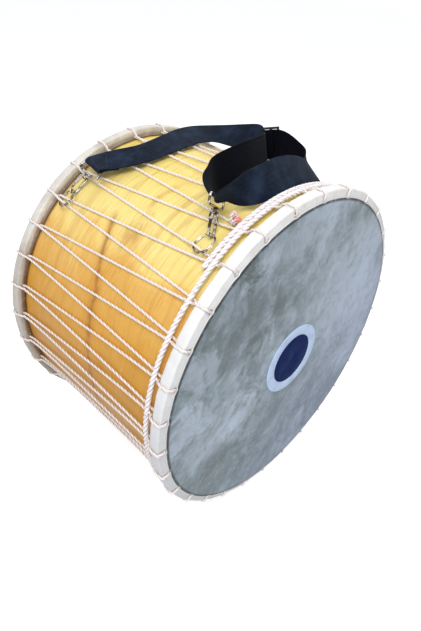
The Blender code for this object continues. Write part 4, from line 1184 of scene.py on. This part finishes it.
def strap_route(front_eye, rear_eye):
    """The whole band, from its sewn end to the slider's core bar: middle, width direction, softness.

    The softness is 1 where the band hangs freely and 0 where a hook's eye or the slider shapes it.
    """
    centre, along, up, normal = slider_axes()
    half = STRAP_THICKNESS / 2
    clear = EYE_WIRE / 2 + GAP + half

    def by_slider(u, n):
        return (centre + along * u + normal * n, up)

    over = SLIDER_THICKNESS / 2 + GAP + half
    beside = SLIDER_CORE / 2 + GAP + half
    below = -(over + STRAP_THICKNESS + 2 * GAP)
    above = over + 2 * GAP
    middle = SLIDER_CORE / 2 + (SLIDER_SLOT + STRAP_THICKNESS + GAP) / 2
    to_slider = [
        by_slider(-4 * middle, below - GAP),
        by_slider(-2 * middle, below),
        by_slider(0.0, below),
        by_slider(middle - 1.7 * STRAP_THICKNESS, below + GAP),
        by_slider(middle - 0.7 * STRAP_THICKNESS, -over),
        by_slider(middle + 0.4 * STRAP_THICKNESS, over - half),
        by_slider(middle + 1.4 * STRAP_THICKNESS, above),
        by_slider(middle + 3.0 * STRAP_THICKNESS, above),
        by_slider(middle + 6.0 * STRAP_THICKNESS, above + GAP),
    ]
    core = [
        by_slider(-3 * middle, above + 2 * GAP),
        by_slider(-1.6 * middle, above + GAP),
        by_slider(-half, over),
        by_slider(beside * 0.9, over * 0.95),
        by_slider(beside, 0.0),
        by_slider(beside * 0.9, -over * 0.95),
        by_slider(0.0, -over),
        by_slider(-beside * 0.9, -over * 0.95),
        by_slider(-beside, -GAP),
    ]
    long_run = stations(LONG_RUN)
    long_part = smooth_run(long_run + to_slider[:1], RUN_STEPS)
    turn = loop_turn(front_eye, clear)
    loop = to_slider[-1:] + stations(LOOP_BACK) + turn + stations(LOOP_OUT) + core[:1]
    loop_part = smooth_run(loop, RUN_STEPS)
    pinch = (1 + len(LOOP_BACK) + len(turn) // 2) * RUN_STEPS
    sewn = sewn_end(rear_eye, clear, *long_run[:2])
    rows = [(*spot, 0.0) for spot in sewn]
    rows += [(*spot, 1.0) for spot in long_part[:-1]]
    rows += [(*spot, 0.0) for spot in to_slider[:-1]]
    rows += [(*spot, float(abs(index - pinch) >= HELD_ROWS)) for index, spot in enumerate(loop_part[:-1])]
    rows += [(*spot, 0.0) for spot in core]
    return rows


def band_surface(run):
    """Even, smoothed rows of (middle, width direction, face direction), with the length at each."""
    both = np.array([(*middle, *width, soft) for middle, width, soft in run])
    for _ in range(2):
        here, after = both[:-1], both[1:]
        cut = np.empty((len(here) * 2, 7))
        cut[0::2] = here * 0.75 + after * 0.25
        cut[1::2] = here * 0.25 + after * 0.75
        both = np.vstack([both[:1], cut[1:-1], both[-1:]])
    lengths = np.concatenate([[0], np.cumsum(np.linalg.norm(np.diff(both[:, :3], axis=0), axis=1))])
    spots = np.linspace(0, lengths[-1], int(lengths[-1] / BAND_STEP))
    even = np.stack([np.interp(spots, lengths, both[:, axis]) for axis in range(7)], axis=1)
    soft = even[:, 6]
    for _ in range(SOFT_SPREAD):
        near = (soft[:-2] + soft[1:-1] + soft[2:]) / 3 + 0.12
        soft[1:-1] = np.minimum(soft[1:-1], near)
    for _ in range(SOFT_PASSES):
        mean = (even[:-2, :6] + even[2:, :6]) / 2
        even[1:-1, :6] += (mean - even[1:-1, :6]) * 0.5 * soft[1:-1, None]
    middles = even[:, :3]
    tangents = np.gradient(middles, axis=0)
    tangents /= np.linalg.norm(tangents, axis=1)[:, None]
    widths = even[:, 3:6]
    widths = widths - tangents * np.sum(widths * tangents, axis=1)[:, None]
    widths /= np.linalg.norm(widths, axis=1)[:, None]
    return middles, widths, np.cross(tangents, widths), spots


def make_strap(front_eye, rear_eye, look, thread):
    """Woven band with a rolled selvedge along each edge, and the stitching of its sewn end at the rear hook."""
    middles, widths, faces, spots = band_surface(strap_route(front_eye, rear_eye))
    half = STRAP_WIDTH / 2
    thick = STRAP_THICKNESS / 2
    upper = [
        (-1.0, 0.25), (-0.992, 0.72), (-0.975, 1.0), (-0.955, 0.92), (-0.94, 0.70), (-0.92, 0.74),
        (-0.6, 0.80), (0.0, 0.82), (0.6, 0.80), (0.92, 0.74), (0.94, 0.70), (0.955, 0.92), (0.975, 1.0),
        (0.992, 0.72), (1.0, 0.25),
    ]
    section = upper + [(side, -rise) for side, rise in reversed(upper)]
    grid = np.empty((len(middles), len(section), 3))
    uv = np.empty((len(middles), len(section) + 1, 2))
    uv[:, :, 0] = spots[:, None]
    for k, (side, rise) in enumerate(section):
        grid[:, k, :] = middles + widths * (side * half) + faces * (rise * thick)
        uv[:, k, 1] = side * half
        # The loop's upper faces lie BACK_SHIFT further along in the coordinates, where the webbing look paints them
        # in shade.
        if k < len(upper):
            uv[spots > LOOP_START, k, 1] += BACK_SHIFT
    uv[:, -1, 1] = uv[:, 0, 1]
    band = grid_object("band_woven", grid, look, close_v=True, cap=True, uv=uv)
    stand_for(band, "strap")
    seam_rows(middles, widths, faces, spots, thread)


def seam_rows(middles, widths, faces, spots, thread):
    """Rows of raised stitches across and along the doubled end at the rear hook."""
    data = bmesh.new()

    def at(length, side):
        index = int(np.argmin(np.abs(spots - length)))
        lift = faces[index] * (STRAP_THICKNESS * 0.41)
        return Vector(middles[index] + widths[index] * side), Vector(lift)

    def stitch(start, end, rise):
        direction = (end - start).normalized()
        across = direction.cross(rise).normalized() * 0.00035
        up = rise.normalized()
        rows = []
        for share, high in ((0.0, 0.0), (0.25, 0.85), (0.75, 0.85), (1.0, 0.0)):
            spot = start.lerp(end, share) + rise + up * 0.0004 * (high - 0.3)
            rows.append([data.verts.new(spot + across), data.verts.new(spot + up * 0.0003 * high)])
            rows[-1].append(data.verts.new(spot - across))
        for here, there in zip(rows, rows[1:]):
            for k in range(2):
                data.faces.new((here[k], here[k + 1], there[k + 1], there[k]))

    start, end = SEAM_START, SEAM_END
    reach = STRAP_WIDTH / 2 - SEAM_INSET
    for side in (-reach, reach):
        for length in np.arange(start, end, SEAM_STEP):
            a, rise = at(length, side)
            b, _ = at(length + SEAM_STEP * 0.7, side)
            stitch(a, b, rise)
    for length in (start, end):
        for side in np.arange(-reach, reach, SEAM_STEP):
            a, rise = at(length, side)
            b, _ = at(length, side + SEAM_STEP * 0.7)
            stitch(a, b, rise)
    mesh = bpy.data.meshes.new("band_seams")
    data.to_mesh(mesh)
    data.free()
    item = bpy.data.objects.new("band_seams", mesh)
    bpy.context.scene.collection.objects.link(item)
    mesh.materials.append(thread)
    stand_for(item, "strap")


def make_slider(look):
    """Moulded slider: two side bars, two end bars and the thicker core bar, all rounded."""
    centre, along, up, normal = slider_axes()
    matrix = Matrix.Translation(centre) @ Matrix((along, up, normal)).transposed().to_4x4()
    long = STRAP_WIDTH / 2 + SLIDER_SPACE + SLIDER_BAR
    wide = SLIDER_CORE / 2 + SLIDER_SLOT + SLIDER_BAR
    thick = SLIDER_THICKNESS / 2
    bars = []
    for sign in (-1, 1):
        low, high = sorted((sign * (wide - SLIDER_BAR), sign * wide))
        bars.append(soft_box("slider_side", (low, -long, -thick), (high, long, thick), look, 0.0008))
        low, high = sorted((sign * (long - SLIDER_BAR), sign * long))
        bars.append(soft_box("slider_end", (-wide, low, -thick), (wide, high, thick), look, 0.0008))
    core = SLIDER_CORE / 2
    bars.append(soft_box("slider_core", (-core, -long, -thick), (core, long, thick), look, 0.0006))
    stand_for(joined("slider_frame", bars, matrix), "strap_slider")


# Patches


def make_patches(pale, dark):
    """Two thin round patches on the front head, with softly rounded edges."""
    inner = DOT_INNER_RADIUS + GAP
    top = GAP + DOT_THICKNESS
    rings = {
        "head_patch_ring": ("patch_ring_cloth", pale, "patch_pale", inner, DOT_RADIUS),
        "head_patch_disc": ("patch_disc_cloth", dark, "patch_dark", 0.0004, DOT_INNER_RADIUS),
    }
    for node, (name, look, slot, near, far) in rings.items():
        profile = [(near, GAP), (near, top - 0.0002), (near + 0.0003, top), (far - 0.0004, top)]
        profile += [(far, top - 0.0002), (far, GAP)]
        grid = np.empty((96, len(profile), 3))
        for i in range(96):
            for k, (radius, depth) in enumerate(profile):
                grid[i, k] = place(360.0 * i / 96, radius, -HALF_DEPTH - depth)
        stand_for(grid_object(name, grid, look, close_u=True, close_v=True), node)


# Staging


FLOOR_GLOW = 0.70


def make_floor():
    mesh = bpy.data.meshes.new("floor")
    reach = 6.0
    mesh.from_pydata(
        [(-reach, -reach, 0), (reach, -reach, 0), (reach, reach, 0), (-reach, reach, 0)], [], [(0, 1, 2, 3)]
    )
    floor = bpy.data.objects.new("floor", mesh)
    bpy.context.scene.collection.objects.link(floor)
    floor.data.materials.append(floor_look())


def floor_look():
    """Pale floor. Seen directly or reflected it reads white, and keeps a soft shadow."""
    look = Look("floor_pale", 0.9)
    look.shader.inputs["Base Color"].default_value = (0.55, 0.55, 0.55, 1.0)
    look.shader.inputs["Specular IOR Level"].default_value = 0.0
    path = look.add("ShaderNodeLightPath")
    seen = look.math("MAXIMUM", path.outputs["Is Camera Ray"], path.outputs["Is Glossy Ray"])
    seen = look.math("MAXIMUM", seen, path.outputs["Is Transmission Ray"])
    lit = look.add("ShaderNodeEmission", {"Color": (1, 1, 1, 1), "Strength": FLOOR_GLOW})
    both = look.add("ShaderNodeAddShader")
    look.links.new(look.shader.outputs[0], both.inputs[0])
    look.links.new(lit.outputs[0], both.inputs[1])
    choice = look.add("ShaderNodeMixShader")
    look.links.new(seen, choice.inputs[0])
    look.links.new(look.shader.outputs[0], choice.inputs[1])
    look.links.new(both.outputs[0], choice.inputs[2])
    look.links.new(choice.outputs[0], look.nodes["Material Output"].inputs[0])
    return look.material


def add_area(name, spot, target, size, power, colour=(1, 1, 1)):
    data = bpy.data.lights.new(name, "AREA")
    data.shape = "SQUARE"
    data.size = size
    data.energy = power
    data.color = colour
    lamp = bpy.data.objects.new(name, data)
    lamp.location = spot
    lamp.rotation_euler = (Vector(target) - Vector(spot)).to_track_quat("-Z", "Y").to_euler()
    bpy.context.scene.collection.objects.link(lamp)


def make_lights():
    world = bpy.data.worlds.new("studio")
    world.use_nodes = True
    nodes, links = world.node_tree.nodes, world.node_tree.links
    soft = nodes["Background"]
    soft.inputs["Color"].default_value = (0.93, 0.95, 1.0, 1.0)
    soft.inputs["Strength"].default_value = 0.55
    white = nodes.new("ShaderNodeBackground")
    white.inputs["Color"].default_value = (1, 1, 1, 1)
    white.inputs["Strength"].default_value = 1.0
    path = nodes.new("ShaderNodeLightPath")
    seen = path.outputs["Is Camera Ray"]
    for kind in ("Is Glossy Ray", "Is Transmission Ray"):
        either = nodes.new("ShaderNodeMath")
        either.operation = "MAXIMUM"
        links.new(seen, either.inputs[0])
        links.new(path.outputs[kind], either.inputs[1])
        seen = either.outputs[0]
    mix = nodes.new("ShaderNodeMixShader")
    links.new(seen, mix.inputs[0])
    links.new(soft.outputs[0], mix.inputs[1])
    links.new(white.outputs[0], mix.inputs[2])
    links.new(mix.outputs[0], nodes["World Output"].inputs[0])
    bpy.context.scene.world = world
    add_area("key", (-0.9, -0.6, 2.1), (0, 0, 0.25), 1.2, 26.0, (1.0, 0.98, 0.95))
    add_area("fill", (-1.6, -1.4, 0.7), (0, 0, 0.2), 1.4, 8.0, (0.93, 0.96, 1.0))
    add_area("rim", (1.4, 0.9, 1.6), (0, 0, 0.2), 1.0, 10.0)


def make_camera():
    data = bpy.data.cameras.new("camera")
    data.sensor_fit = "VERTICAL"
    data.sensor_height = 24.0
    data.lens = data.sensor_height * FOCAL_PIXELS / FRAME_HEIGHT
    data.clip_start = 0.01
    camera = bpy.data.objects.new("camera", data)
    backward = CAMERA_RIGHT.cross(CAMERA_UP)
    turn = Matrix((CAMERA_RIGHT, CAMERA_UP, backward)).transposed()
    camera.matrix_world = Matrix.Translation(CAMERA_PLACE) @ turn.to_4x4()
    bpy.context.scene.collection.objects.link(camera)
    bpy.context.scene.camera = camera


def paint(look, *nodes):
    for node in nodes:
        item = frame["nodes"][node]
        item.data.materials.clear()
        item.data.materials.append(look)


def main():
    make_camera()
    make_floor()
    make_lights()
    bpy.context.scene.view_settings.view_transform = "Standard"
    paint(wood_look(), "shell")
    paint(inner_wood_look(), "inner_ring_front", "inner_ring_rear", "front_hoop", "rear_hoop")
    face = skin_look("skin_face", (0.115, 0.145, 0.148), (0.275, 0.335, 0.368), (0.55, 0.63, 0.74), 8.0)
    # Each lap's last two colours are painted shade: beside the shell, and down its side.
    bright = skin_look(
        "skin_wrap_front", (0.74, 0.73, 0.71), (0.88, 0.87, 0.85), (0.94, 0.94, 0.93), 20.0,
        inner=(0.72, 0.70, 0.67), side_shade=(0.64, 0.66, 0.69),
    )
    grey = skin_look(
        "skin_wrap_rear", (0.52, 0.48, 0.43), (0.72, 0.68, 0.63), (0.87, 0.85, 0.82), 13.0,
        inner=(0.15, 0.075, 0.025), side_shade=(0.42, 0.385, 0.33),
    )
    make_head(-1, "skin_front", "front_head", face, bright)
    make_head(1, "skin_rear", "rear_head", face, grey)
    make_wrap(-1, "hoop_lap_front", "front_head", FRONT_OUTER, bright)
    make_wrap(1, "hoop_lap_rear", "rear_head", REAR_OUTER, grey)
    cord = cord_look("cord_laid", (0.97, 0.90, 0.87), (0.47, 0.27, 0.20), 0.64, 0.12, above=0.5)
    rope = cord_look("rope_laid", (1.0, 0.98, 0.99), (0.76, 0.58, 0.61), 0.66, 0.80, above=0.9)
    make_lacing(cord)
    make_ropes(rope)
    tuft = cord_look("knot_laid", (0.97, 0.80, 0.81), (0.68, 0.30, 0.31), 0.75, 0.25)
    make_knot(tuft, moulded_look("knot_melted", (0.82, 0.22, 0.22), 0.45))
    nickel = metal_look("nickel_worn_and_dark_reflections", (0.62, 0.60, 0.58), (0.075, 0.048, 0.030), 0.16)
    steel = metal_look("steel_plain", (0.38, 0.37, 0.36), (0.24, 0.22, 0.20), 0.32)
    eyes = {}
    for key in ("front", "rear"):
        body, eyes[key] = hook_matrices(key)
        make_split_ring(key, nickel)
        make_eye(key, eyes[key], nickel)
        make_hook_body(key, body, nickel)
        make_gate(key, body, nickel, steel)
    make_slider(moulded_look("slider_black", (0.012, 0.012, 0.015), 0.38))
    pale = moulded_look("patch_pale_cloth", (0.60, 0.74, 0.98), 0.6, 0.3)
    make_patches(pale, moulded_look("patch_dark_cloth", (0.008, 0.020, 0.103), 0.7, 0.05))
    make_strap(eyes["front"], eyes["rear"], webbing_look(), thread_look())


main()
